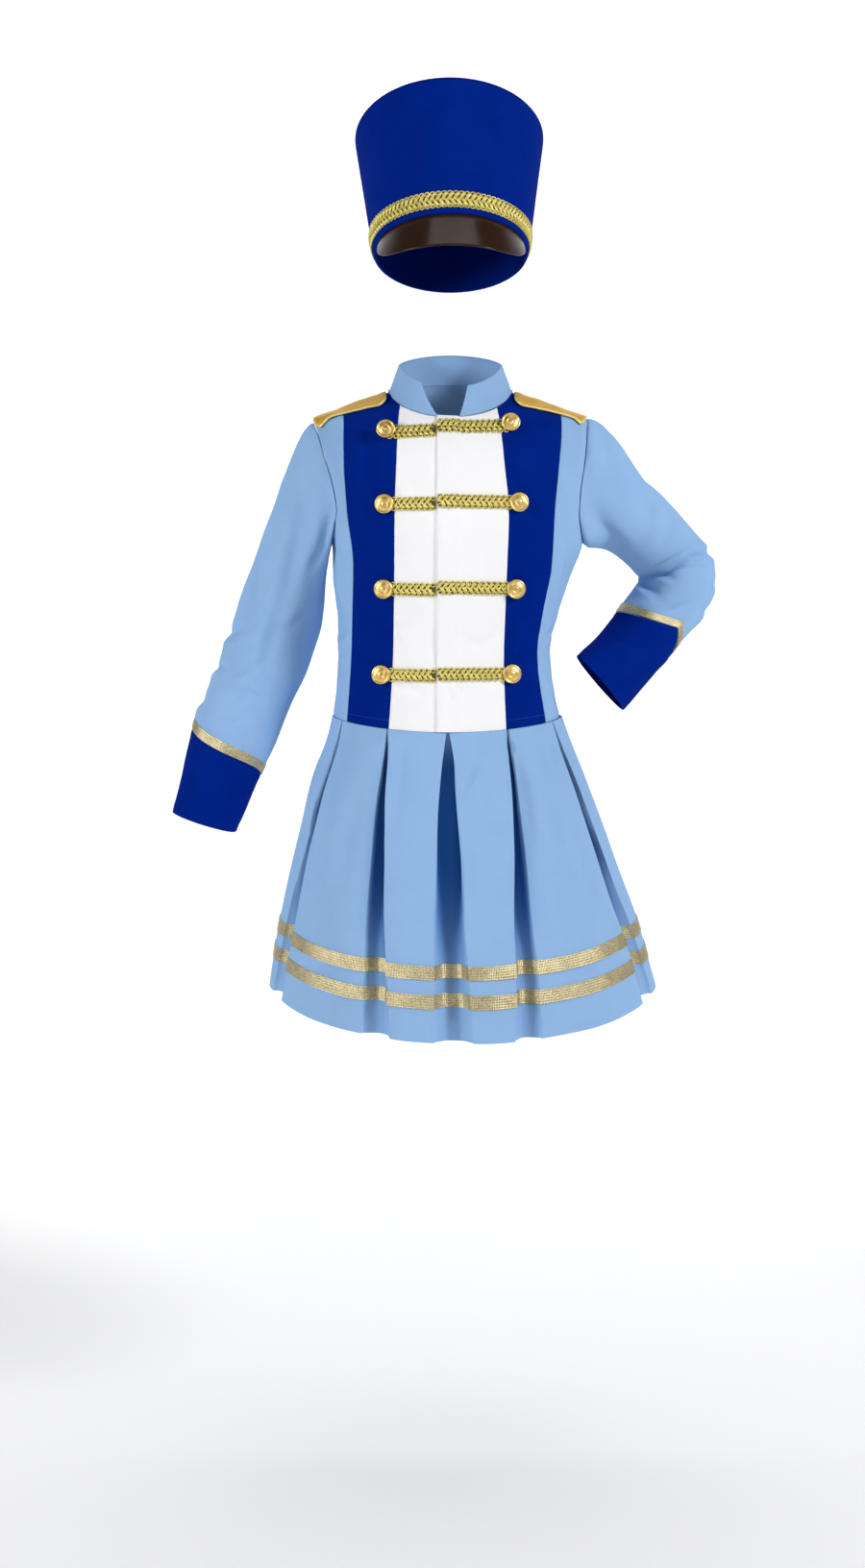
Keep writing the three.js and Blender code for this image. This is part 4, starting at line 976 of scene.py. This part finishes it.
def side_panel(side):
    """The panel under the arm, from the royal panel's seam to the armhole and the side seam."""
    sleeve = SLEEVES[side]
    start = float(shoulder_drop(seam_at(20)[sleeve.side_seam], 0)) + 1.5
    above = np.linspace(0, 1, 5)[:-1]
    turns, drops = arm_edge(side, 1, 70, above * 0 + sleeve.sign * np.pi / 2, mix(start, sleeve.tip, above))

    def seam_x(drop):
        return seam_at(drop)[sleeve.side_seam] + sleeve.sign * SEAM_GAP / 2

    seam_drop = levelled(drops, seam_x(drops))
    turn = mix(turn_at(seam_x(seam_drop), seam_drop)[None, :], turns[None, :], clustered(26)[:, None])
    drop = np.broadcast_to(drops, turn.shape)
    drop = levelled(drop, body(turn, drop)[..., 0])
    cloth("bodice_side_" + side, *on_body(turn, drop), seed=5)


def back_ends(side):
    """Turn and drop of the back's edge: neck, shoulder, armhole and side seam in turn."""
    sleeve = SLEEVES[side]
    neck = np.radians(np.linspace(166, 90, 26))
    drop = neck_drop(neck)
    sections = torso_at(drop)
    across = np.arcsin(np.minimum(power(NECK_HALF * np.sin(neck) / sections[1], sections[4] / 2), 1))
    share = np.linspace(0, 1, 12)[1:-1]
    turns = np.r_[sleeve.sign * (np.pi - across), share * 0 + sleeve.sign * np.pi / 2]
    return arm_edge(side, -1, 60, turns, np.r_[drop + EDGE_DROP, mix(EDGE_DROP, sleeve.tip, share)])


def back_panel():
    """The back: each row runs from the left edge round behind to the right edge."""
    left_turn, left_drop = back_ends("left")
    right_turn, right_drop = back_ends("right")
    shares = clustered(110, 0.5)[:, None]
    turn = mix(left_turn[None, :], right_turn[None, :] + 2 * np.pi, shares)
    drop = mix(left_drop[None, :], right_drop[None, :], shares)
    drop = levelled(drop, body(turn, drop)[..., 0])
    cloth("bodice_back", *on_body(turn, drop, SEAM_GAP / 2), wave=0.9, scale=80, seed=9)


def collar_surface(turn, height):
    """The stand collar: a straight line from the neckline up to an edge that leans in."""
    drop = neck_drop(turn)
    _, half, front, back, square = torso_at(drop)
    x = NECK_HALF * np.sin(turn)
    share = np.minimum(np.abs(x) / half, 1)
    cosine = np.cos(turn)
    ahead = cosine > 0
    sunk = COLLAR_LIFT - 0.9 * smooth(-cosine, 0.2, 0.6)
    foot = pack(x, np.where(ahead, -front, back) * (1 - share**square) ** (1 / square), sunk - drop)
    top_z = mix(COLLAR_TOP.side_z, np.where(ahead, COLLAR_TOP.front_z, COLLAR_TOP.back_z),
                np.abs(cosine) ** NECK_FRONT_ROUND)
    top_y = -np.where(ahead, COLLAR_TOP.front, COLLAR_TOP.back) * cosine
    top = pack(COLLAR_TOP.half * np.sin(turn), top_y, top_z)
    return foot + (top - foot) * np.asarray(height)[..., None]


def collar():
    down = np.linspace(0, 1, 22)[None, :]
    start = mix(COLLAR_ENDS.left_top, COLLAR_ENDS.left_foot, down)
    end = mix(COLLAR_ENDS.right_top, COLLAR_ENDS.right_foot, down) + 360
    turn = np.radians(mix(start, end, clustered(190, 0.6)[:, None]))
    points = collar_surface(turn, 1 - down)
    across = collar_surface(turn + 0.02, 1 - down) - collar_surface(turn - 0.02, 1 - down)
    fall = collar_surface(turn, down * 0) - collar_surface(turn, down * 0 + 1)
    normals = unit(np.cross(fall, across))
    outer = cloth("collar", points, normals, rests_on=["bodice_back"], wave=0.35, scale=45, pucker=0.2,
                  seed=13)
    stitches("collar_topstitch", outer[4:-4, 3], normals[4:-4, 3], "light_blue")


def stitches(name, line, ups, colour, length=2.4, gap=1.0):
    """Sewn dashes along a line of points: a bent thread for each stitch, sunk at its ends."""
    distance = walked(line)
    starts = np.arange(1.0, distance[-1] - length, length + gap)
    places = starts[:, None] + np.array([0, 0.3, 0.7, 1])[None, :] * length
    path, up = (np.stack([np.interp(places, distance, column) for column in grid.T], -1)
                for grid in (line, ups))
    path = path + unit(up) * np.array([-0.15, 0.12, 0.12, -0.15])[None, :, None]
    piece = tubes(name, path, unit(up), 0.22, sides=4, flat=0.8)
    piece.data.materials.append(MATERIALS[colour + "_thread"])


# Sleeves

def sleeve_surface(side):
    """A sleeve as a function of the angle round the arm and the length along it.

    Each section is an oval between its outer and inner point. Near the shoulder the armhole
    takes over by a smooth fade, and the cap puffs up by a power of the cosine.
    """
    sleeve = SLEEVES[side]
    sign = sleeve.sign

    def hole(angle):
        turn, drop = armhole(side, angle)
        points = body(turn, drop)
        points[..., 0] += sign * ARMHOLE_GAP
        return points

    tip, pit = hole(np.array(0.0)), hole(np.array(np.pi))
    first = (tip[0], 0, tip[2], pit[0], 0, pit[2], SHOULDER_HALF_DEPTH)
    rows = np.vstack([first, sleeve.sections])
    along = walked((rows[:, 0:3] + rows[:, 3:6]) / 2)
    read = table(np.column_stack([along, rows]))
    total = along[-1]

    def middle(place):
        row = read(np.clip(place, 0, total))
        return np.moveaxis((row[0:3] + row[3:6]) / 2, 0, -1)

    def oval(angle, place):
        row = read(place)
        span = np.moveaxis(row[0:3] - row[3:6], 0, -1)
        axis = middle(place + 8) - middle(place - 8)
        axis[..., 1] *= DEPTH_LEAN
        deep = unit(np.cross(span, axis)) * (-sign * row[6])[..., None]
        return middle(place) + span * np.cos(angle)[..., None] / 2 + deep * np.sin(angle)[..., None]

    def surface(angle, place):
        angle, place = np.broadcast_arrays(np.asarray(angle, float), np.asarray(place, float))
        fade = 1 - smooth(place, 0, CAP_LENGTH)
        cap = hole(angle) - oval(angle, place * 0)
        puff = CAP_PUFF.high * np.maximum(np.cos(angle), 0) ** 0.7
        puff = puff * (1 - np.exp(-place / CAP_PUFF.rise))
        puff = puff * (1 - smooth(place, CAP_PUFF.rise, CAP_PUFF.end))
        return oval(angle, place) + cap * fade[..., None] + pack(sign * puff * 0.6, 0, puff * 0.8)

    return surface, total


def sleeve(side):
    """The sleeve, its pointed cuff and the ribbon above it, on one surface."""
    facts = SLEEVES[side]
    surface, total = sleeve_surface(side)
    angles = circle(120)
    away = np.radians(facts.apex)
    share = np.abs(np.arctan2(np.sin(angles - away), np.cos(angles - away))) / np.pi
    behind = np.where(np.sin(angles - away) < 0, facts.hollow * np.sin(np.pi * share), 0)
    edge = total - mix(facts.cuff_outer, facts.cuff_inner, share) + behind
    rows = np.r_[0, 0.002, 0.005, 0.01, 0.016, np.linspace(0.025, 1, 120)][None, :]
    points = surface(angles, rows * edge)
    cloth("sleeve_" + side, points, ring_normals(points), held="hung", ring=True, seams=(2,), wave=0.9,
          scale=70, pucker=0.5, seed=17)
    points = surface(angles, mix(edge + SEAM_GAP, total, clustered(46, 0.6)[None, :]))
    cloth("cuff_" + side, points, ring_normals(points), "royal_blue_twill", rests_on=["sleeve_" + side],
          ring=True, seams=(2, 3), scale=50, seed=19)
    points = surface(angles, mix(edge - CUFF_RIBBON, edge - SEAM_GAP, np.linspace(0, 1, 7)[None, :]))
    normals = ring_normals(points)
    high = (TRIM_LIFT + RIBBON_THICK) * 0.8 + 0.25 * ripple(points, 16, 23)
    trim("cuff_ribbon_" + side, points + normals * high[..., None], points + normals * 0.45, "gold_ribbon",
         "stretched", ["sleeve_" + side])


def shoulder_tab(side):
    """The shoulder tab: narrowed at the neck, hollowed at its outer end, piped at its edges."""
    sign = SLEEVES[side].sign
    shares = np.linspace(0, 1, 60)[:, None]
    across = np.linspace(-1, 1, 41)[None, :]
    reach = mix(TAB.neck, TAB.tip - TAB.hollow * across**2, shares)
    from_end = np.minimum(shares * (TAB.tip - TAB.neck) / TAB.round, 1)
    wide = 0.35 + 0.65 * np.sqrt(1 - (1 - from_end) ** 2)
    y = across * wide * np.where(across < 0, mix(TAB.front, TAB.tip_front, shares),
                                 mix(TAB.back, TAB.tip_back, shares))
    x = sign * reach
    drop = shoulder_drop(x, y)
    turn = np.abs(turn_at(x, drop))
    turn = sign * np.where(across > 0, np.pi - turn, turn)
    points, normals = body(turn, drop), grid_normals(body, turn, drop)
    normals[:, 20] = unit(normals[:, 19] + normals[:, 21])
    ridge = 0.7 * bell(np.abs(across) - 0.8, 0.07) + 0.5 * bell(shares - 0.07, 0.03)
    lift = TAB.lift + TAB.thick - 0.4 + ridge + 0.3 * ripple(points, 22, 31)
    outer = points + normals * lift[..., None]
    trim("epaulette_" + side, outer, points + normals * TAB.lift, "gold_satin", "laid", ["bodice_back"],
         ring=False)
    rim = np.concatenate([outer[:, 0], outer[-1, 1:-1], outer[::-1, -1]])
    ups = np.concatenate([normals[:, 0], normals[-1, 1:-1], normals[::-1, -1]])
    pipe = tubes("epaulette_piping_" + side, (rim - ups * 0.7)[None], ups[None], 1.3, sides=8,
                 slot="gold_satin")
    pipe.data.materials[0] = MATERIALS["gold_piping"]


# Braid and buttons

def braid(name, place, length, wide):
    """Gimp braid: two rows of slanted strands that cross in the middle, and looped edges.

    place turns distance along, distance across and height into points. A strand starts past
    the middle, rises along a half sine and ends at the edge. Strands lie in pairs, and both
    rows mirror each other, set off by half a pitch, so that they interlock like a plait.
    """
    half = wide / 2
    lean = 3.4 * wide / 12
    count = max(int((length - BRAID_END) / BRAID_PITCH), 2)
    step = (length - BRAID_END - 1.7) / count
    starts = np.arange(count)[:, None] * step
    starts = np.concatenate([starts, starts + STRAND_APART])
    t = np.linspace(0, 1, 9)[None, :]
    loop_count = int(length / BRAID_PITCH)
    centres = (np.arange(loop_count) + 0.5)[:, None] * (length / loop_count)
    turn = np.linspace(0, 2 * np.pi, 15)[None, :]

    def strand(sign):
        along = np.clip(starts + (0.25 + 0.25 * sign) * step + lean * t**1.3, 0.5, length - 0.5)
        return along, sign * (-1.1 + (half + 0.1) * t), 0.2 + 1.2 * np.sin(np.pi * (0.04 + 0.86 * t))

    def loop(sign):
        across = sign * (half - 1.35 + 1.75 * np.sin(turn))
        return centres + 2.35 * np.cos(turn), across, 0.6 + 0.35 * np.cos(turn)

    def threads(part, line, radius, sides, flat=1.0):
        lines = [np.broadcast_arrays(*line(sign)) for sign in (-1, 1)]
        paths = np.concatenate([place(along, across, high) for along, across, high in lines])
        above = np.concatenate([place(along, across, high + 1) for along, across, high in lines])
        return tubes(f"{name}_{part}", paths, unit(above - paths), radius, sides, flat, "gold_braid")

    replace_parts(threads("strands", strand, 0.84, 7, 0.9), name)
    threads("loops", loop, 0.62, 6)


def ground(name, place, along, wide, thick, ring=False):
    """The strip under a braid, in darker yarn that is seen between the strands."""
    across = np.linspace(-wide, wide, 7)[None, :]
    flat = along * 0 + across * 0
    piece = wall(name + "_base", place(along, across, flat + thick), place(along, across, flat), ring,
                 "gold_braid")
    piece.data.materials[0] = MATERIALS["braid_ground"]


def braid_line(side, start, button_x, button_drop, at_placket):
    """A half row of braid: from the placket to its button on a straight line, on the cloth."""
    def place(along, across, high):
        x = start + along
        share = np.abs(x - PLACKET_X) / abs(button_x - PLACKET_X)
        drop = mix(at_placket, button_drop, share) + across
        points, normals = on_body(turn_at(x, drop), drop)
        lift = TRIM_LIFT + high + (overlap_lift(x) if side == "left" else 0)
        return points + normals * np.asarray(lift)[..., None]

    return place


def fastenings():
    for number, row in enumerate(FASTENINGS, 1):
        for side, (button_x, button_drop, at_placket) in (("right", row[:3]), ("left", row[3:])):
            start, end = (button_x, PLACKET_X - 1) if side == "right" else (PLACKET_X + 0.3, button_x)
            place = braid_line(side, start, button_x, button_drop, at_placket)
            name = f"braid_{number}_{side}"
            along = np.linspace(0, end - start, 60)[:, None]
            ground(name, place, along, BRAID_WIDE / 2 - 0.7, 0.45)
            braid(name, place, end - start, BRAID_WIDE)
            button(f"button_{number}_{side}", button_x, button_drop, BUTTON_SEAT[number - 1])


BUTTON_FACING = 0.5
BUTTON_SEAT = [0.9, 0.5, 0.5, 0.5]

# A button's profile
BUTTON = numbers("""
radius height
0 0
7.6 0
8.9 0.5
9.4 1.2
9.5 1.9
9.35 2.5
8.9 3
8.3 3.15
7.8 2.9
7.5 2.5
7.2 2.45
6.6 2.75
5.6 3.1
4.5 3.35
4.2 3.65
3.9 3.75
3.6 3.65
3.3 3.35
2.9 3.3
2 3.65
1 3.9
0 3.95
""")


def button(name, x, drop, seat):
    """A domed button: its profile turned round an axis between the cloth's normal and the front.

    It stands off the cloth by the sine of its tilt times its radius and its seat.
    """
    point, normal = on_body(turn_at(np.array(x), np.array(drop)), np.array(drop))
    up = unit(mix(normal, np.array([0, -1.0, 0]), BUTTON_FACING))
    clear = seat * BUTTON[:, 0].max() * size(np.cross(normal, up))
    centre = point + normal * (TRIM_LIFT + 1.2 + SEAM_GAP + clear)
    side = unit(np.cross(up, [0, 0, 1.0]))
    angle = circle(56)
    around = side * np.cos(angle) + np.cross(side, up) * np.sin(angle)
    points = centre + around[:, None] * BUTTON[None, :, :1] + up * BUTTON[None, :, 1:]
    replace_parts(turned(name + "_gold", points, "gold_plate", 80), name)


# Skirt

def turn_between(start, end):
    return (end - start + 540) % 360 - 180


def skirt_point(turn, level, depth):
    """A point of the skirt: the outline oval at its level, drawn in by a depth."""
    middle, half, front, back = skirt_at(level)
    square = mix(2.2, 2, level)
    sine, cosine = np.sin(turn), np.cos(turn)
    x = half * power(sine, 2 / square)
    y = -np.where(cosine > 0, front, back) * power(cosine, 2 / square)
    shrink = 1 - depth / np.hypot(x, y)
    x, y = middle + x * shrink, y * shrink
    waist = waist_drop(x) + SEAM_GAP + 0.1
    hem = HEM.side + np.where(cosine > 0, HEM.front_dip, HEM.back_dip) * np.abs(cosine) ** 1.3
    return pack(x, y, -mix(waist, hem, level))


# Steps between the ten bends of each pleat, from the middle of one panel to the next
BEND_STEPS = np.array([12, 2, 3, 1, 3, 3, 1, 3, 2, 12])


def skirt_rings(levels):
    """Rings of points round the skirt at the given levels, their outward directions and depths.

    Each pleat has ten bends: the panel's middle, its fold edge, down the fold, along the
    cloth behind the gap, and up the next fold. Between bends, turn and depth go straight,
    and a panel swells a little outwards between its edges. On the side of a gap away from
    the front middle, the panel's edge rolls in by a power of the way to it. Creases and soft
    waves that grow towards the hem move the points at the end.
    """
    level = np.asarray(levels, float)[None, :]
    open_share, deep, tuck = fold_at(level)
    _, half, front, _ = skirt_at(level)
    per_degree = np.pi * (half + front) / 360
    waist, hem, opening, depth = (PLEATS[:, k][:, None] for k in range(4))
    turn = waist + turn_between(waist, hem) * level
    opened = np.maximum(opening * open_share, LEAST_OPENING / per_degree)
    deep = deep * mix(1, depth / FULL_FOLD, level)
    reach = opened + tuck / per_degree
    inner = reach - level * 4 / per_degree
    layer = FOLD_LAYER + level * 2 + 0 * turn
    fold_deep = np.maximum(deep - 0.4 - level * 2, FOLD_LAYER)
    start, left = np.roll(turn + opened, 1, axis=0), turn - opened
    middle = start + turn_between(start, left) / 2
    slip = level * 1.2 / per_degree
    soft = SOFT_EDGE * np.sin(np.pi * np.clip(level, 0, 1)) ** 0.8 * (1 - 0.35 * level)
    soft = soft * np.cos(np.radians(waist)) ** 2
    eased = np.where(waist > 180, soft, 0)
    ended = np.where((waist > 0) & (waist <= 180), soft, 0)
    turns = np.stack([middle, left, left + slip, turn - reach, turn - inner, turn, turn + inner,
                      turn + reach, turn + opened - slip, turn + opened], 1)
    depths = np.stack([0 * turn, eased, layer + eased, np.maximum(fold_deep, layer + eased), deep, deep,
                       deep, np.maximum(fold_deep, layer + ended), layer + ended, ended], 1)
    count = len(PLEATS) * 10
    turns, depths = turns.reshape(count, -1), depths.reshape(count, -1)
    spans = turn_between(turns, np.roll(turns, -1, axis=0))
    swell = 1.6 * np.sin(np.pi * np.clip(level, 0, 1) * 0.5) ** 2
    turn_parts, depth_parts = [], []
    for k in range(count):
        bend = k % 10
        share = (np.arange(BEND_STEPS[bend]) / BEND_STEPS[bend])[:, None]
        way = {0: share**2.4, 9: 1 - (1 - share) ** 2.4}.get(bend, share)
        swollen = {0: np.cos(share * np.pi / 2), 9: np.sin(share * np.pi / 2)}.get(bend, 0)
        turn_parts.append(turns[k] + spans[k] * share)
        depth_parts.append(mix(depths[k], depths[(k + 1) % count], way) - swell * swollen)
    turn, depth = np.concatenate(turn_parts), np.concatenate(depth_parts)
    points = skirt_point(np.radians(turn), level + 0 * turn, depth)
    following = np.roll(points, -1, axis=0) - points
    face = unit(pack(following[..., 1], -following[..., 0], 0))
    before = np.roll(face, 1, axis=0)
    mitre = (before + face) / np.maximum(1 + (before * face).sum(-1, keepdims=True), 0.6)
    if (mitre * (points - points.mean(axis=0, keepdims=True))).sum() < 0:
        mitre = -mitre
    out = unit(mitre)
    waves = 1.1 * smooth(-points[..., 2], 340, 520) * ripple(points * np.array([1, 1, 0.35]), 70, 41)
    return points + out * (creased("skirt", points, out) + waves)[..., None], mitre, depth


def skirt():
    """The front and back half, which part in the folds at the sides, and the hem's ribbons."""
    levels = np.r_[0, 0.004, 0.01, 0.018, np.linspace(0.03, 0.985, 100), 0.993, 1]
    points, mitre, depth = skirt_rings(levels)
    # Share of painted shade: it grows with the depth into a pleat and fades towards the hem.
    painted_shade_share = smooth(depth, 0.5, 13) * (1 - 0.9 * smooth(levels, 0.45, 0.95))
    starts = np.r_[0, np.cumsum(np.tile(BEND_STEPS, len(PLEATS)))]
    left, right = (starts[fold * 10 + 5] for fold in SIDE_SEAM_FOLDS)
    for name, start, end in (("skirt_front", right, left + len(points)), ("skirt_back", left, right)):
        take = np.arange(start, end + 1) % len(points)
        outer, inner = points[take], (points - mitre * SKIRT_CLOTH)[take]
        for grid in (outer, inner):
            grid[0], grid[-1] = (edge + unit(beside - edge) * SEAM_GAP / 2
                                 for edge, beside in ((grid[0], grid[1]), (grid[-1], grid[-2])))
        piece = wall(name, outer, inner, False, "light_blue_twill")
        # The skirt takes the twill with painted pleat shade; each point keeps its share of it in the fold
        # attribute.
        piece.data.materials[0] = MATERIALS["pleat_shade_painted_twill"]
        shaded = np.tile(painted_shade_share[take].reshape(-1), 2)
        piece.data.attributes.new("fold", "FLOAT", "POINT").data.foreach_set("value", shaded)
        stand_in(piece, name, outer, "hung", ["bodice_back"])
    drop = (points[:, 0, 2] - points[:, -1, 2]).mean()
    for which, above in HEM_RIBBONS.items():
        ring, mitre, _ = skirt_rings(1 - np.linspace(above + HEM_RIBBON_WIDE, above, 6) / drop)
        trim("skirt_ribbon_" + which, ring + mitre * 0.95, ring + mitre * 0.3, "gold_ribbon",
             "stretched", ["skirt_front", "skirt_back"])


# Hat

def oval_point(oval, turn):
    """A point of a tilted oval, turned from its front."""
    ahead = np.cos(turn) * oval.long
    tilt = math.radians(oval.tilt)
    return pack(oval.x + np.sin(turn) * oval.half, oval.y - ahead * math.cos(tilt),
                oval.z + ahead * math.sin(tilt))


def hat_point(turn, height):
    """Up the straight line from the foot oval to the crown oval, by a height."""
    foot = oval_point(HAT_FOOT, turn)
    return foot + unit(oval_point(HAT_CROWN, turn) - foot) * np.asarray(height)[..., None]


def oval_frame(oval):
    """The middle of a tilted oval and the direction square to it."""
    tilt = math.radians(oval.tilt)
    return np.array([oval.x, oval.y, oval.z], float), np.array([0, math.sin(tilt), math.cos(tilt)])


def hat():
    """The wall, the crown with its rolled rim and low dome, and the braid round the foot."""
    turns = circle(200)
    rim = oval_point(HAT_CROWN, turns)
    full = size(rim - oval_point(HAT_FOOT, turns))
    shares = np.r_[0, 0.004, 0.01, np.linspace(0.02, 0.98, 60), 0.99, 0.996, 1][None, :]
    points = hat_point(turns + 0 * shares, full * (1 - shares))
    normals = ring_normals(points)
    edge = np.minimum(shares, 1 - shares) * 120
    moved = 0.5 * ripple(points, 110, 51) * smooth(edge, 0, 25) - 0.5 * bell(edge, 0.8)
    outer = points + normals * moved[..., None]
    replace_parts(wall("hat_body", outer, points - normals * HAT_WALL, True, "royal_blue_twill"), "hat_body")

    centre, up = oval_frame(HAT_CROWN)
    share = np.linspace(0, 1, 26)[1:]
    scale = np.r_[0, 0.5, 0.97, 0.995, 1, 1, 0.996, 0.985, 0.985 * (1 - share)]
    dome = CROWN_THICK + 2 * np.sin(share * np.pi / 2)
    high = np.r_[0.3, 0.3, 0.3, 0.3, 0.6, 1.5, 2.1, CROWN_THICK, dome]
    points = centre + (rim - centre) * scale[None, :, None] + up * high[None, :, None]
    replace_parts(turned("hat_top", points, "royal_blue_twill", mapped=True), "hat_top")

    around = np.linspace(np.pi, 3 * np.pi, 721)
    centre_height = HAT_BRAID.start + HAT_BRAID.wide / 2
    distance = walked(hat_point(around, centre_height + 0 * around))

    def place(along, across, high):
        turn = np.interp(np.mod(along, distance[-1]), distance, around)
        height = centre_height - across
        points = hat_point(turn, height)
        ahead = hat_point(turn + 0.01, height) - hat_point(turn - 0.01, height)
        rise = hat_point(turn, height + 1) - points
        return points + unit(np.cross(ahead, rise)) * (TRIM_LIFT * 0.5 + np.asarray(high))[..., None]

    along = np.linspace(0, distance[-1], 361)[:-1][:, None]
    ground("hat_braid", place, along, HAT_BRAID.wide / 2 - 0.8, 0.5, ring=True)
    braid("hat_braid", place, distance[-1] + BRAID_END, HAT_BRAID.wide)


def visor_surface(turn, out):
    """The visor: from the hat's foot outwards and down, widest at the front."""
    centre, axis = oval_frame(HAT_FOOT)
    edge = oval_point(HAT_FOOT, turn)
    outward = unit(edge - centre)
    forward = unit(oval_point(HAT_FOOT, 0.0) - centre)
    lean = unit(outward + forward)
    share = np.abs(turn) / math.radians(VISOR.turn)
    wide = 3 + VISOR.wide * (1 - share ** VISOR.taper) ** 0.7
    droop = math.radians(VISOR.droop)
    flat = np.asarray(out * wide * math.cos(droop))[..., None]
    down = np.asarray(-2 * SEAM_GAP - out * wide * math.sin(droop))[..., None]
    return edge - outward * VISOR.set_in + lean * flat + axis * down


def visor():
    limit = math.radians(VISOR.turn) * 0.999
    turns = np.linspace(-limit, limit, 140)[:, None]
    out = np.linspace(0, 1, 30)[None, :]
    safe = np.clip(turns, -limit + 0.02, limit - 0.02)
    across = visor_surface(safe + 0.01, out) - visor_surface(safe - 0.01, out)
    down = visor_surface(safe, out * 0 + 1) - visor_surface(safe, out * 0)
    normals = unit(np.cross(down, across))
    points = visor_surface(turns, out)
    if normals[70, 15, 1] > 0:
        normals = -normals
    piece = wall("hat_visor_patent", points, points - normals * VISOR.thick, False, "dark_patent")
    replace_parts(piece, "hat_visor")
    rim = points[:, -1] - normals[:, -1] * VISOR.thick / 2
    tubes("hat_visor_edge", rim[None, 2:-2], normals[None, 2:-2, -1], 1.0, sides=8, slot="dark_patent")


# Pieces

front_panel("bodice_front_centre_right", "white_twill", 34, 2, (CENTRE_RIGHT, None), (None, UNDERLAP_X))
front_panel("bodice_front_centre_left", "white_twill", 40, 3, (None, CENTRE_LEFT), (PLACKET_X, None),
            lift=overlap_lift)
for side, seams in dict(right=(SIDE_RIGHT, CENTRE_RIGHT), left=(CENTRE_LEFT, SIDE_LEFT)).items():
    name = "bodice_front_side_" + side
    outer, normals = front_panel(name, "royal_blue_twill", 34, 4, seams)
    stitches(name + "_stitches", outer[2:-2, -5], normals[2:-2, -5], "royal_blue")
side_panel("right")
side_panel("left")
back_panel()
collar()
sleeve("right")
sleeve("left")
shoulder_tab("right")
shoulder_tab("left")
fastenings()
skirt()
hat()
visor()

# Floor, light and background
FLOOR_Z = -1.09
side_x = np.array([-8.0, 8.0])[:, None]
sweep = np.linspace(0, np.pi / 2, 24)
floor_y = np.r_[-8.0, 3.0 + 2.0 * np.sin(sweep), 5.0]
floor_z = np.r_[0.0, 2.0 - 2.0 * np.cos(sweep), 6.0] + FLOOR_Z
grid = pack(side_x, floor_y[None, :], floor_z[None, :]) / MM
index = numbering(grid)
faces = np.stack([index[0, :-1], index[1, :-1], index[1, 1:], index[0, 1:]], -1)
floor = build("floor", grid.reshape(-1, 3), faces)
pale = Net("pale_floor", Roughness=0.9, Specular_IOR_Level=0.1)
floor.data.materials.append(pale.finish(pale.blend(pale.noise(0.8), (0.90, 0.90, 0.91), (0.92, 0.92, 0.92))))

world = bpy.data.worlds.new("studio")
bpy.context.scene.world = world
world.use_nodes = True
world.node_tree.nodes["Background"].inputs[0].default_value = (1.0, 1.0, 1.0, 1)
world.node_tree.nodes["Background"].inputs[1].default_value = 0.10

# Soft boxes: place, aim, width, height and power in watts
LIGHTS = dict(
    key=((2.7, -1.7, 1.3), (0, 0, -0.2), 0.8, 1.0, 82),
    fill=((-2.8, -1.7, 0.6), (0, 0, -0.25), 0.8, 1.4, 62),
    front=((0.4, -3.6, 1.2), (0, 0, -0.2), 0.8, 0.8, 12),
    top=((0.2, 0.3, 2.6), (0, 0, 0), 2.0, 1.4, 14),
    backdrop=((0, 1.6, 2.4), (0, 4.6, 0.2), 5.0, 1.0, 165),
)
for name, (place, aim, width, height, watts) in LIGHTS.items():
    data = bpy.data.lights.new(name, "AREA")
    data.shape = "RECTANGLE"
    data.size, data.size_y, data.energy = width, height, watts
    lamp = bpy.data.objects.new(name, data)
    lamp.location = place
    way = Vector(aim) - Vector(place)
    lamp.rotation_euler = way.to_track_quat("-Z", "Y").to_euler()
    bpy.context.scene.collection.objects.link(lamp)

bpy.context.scene.view_settings.view_transform = "Standard"
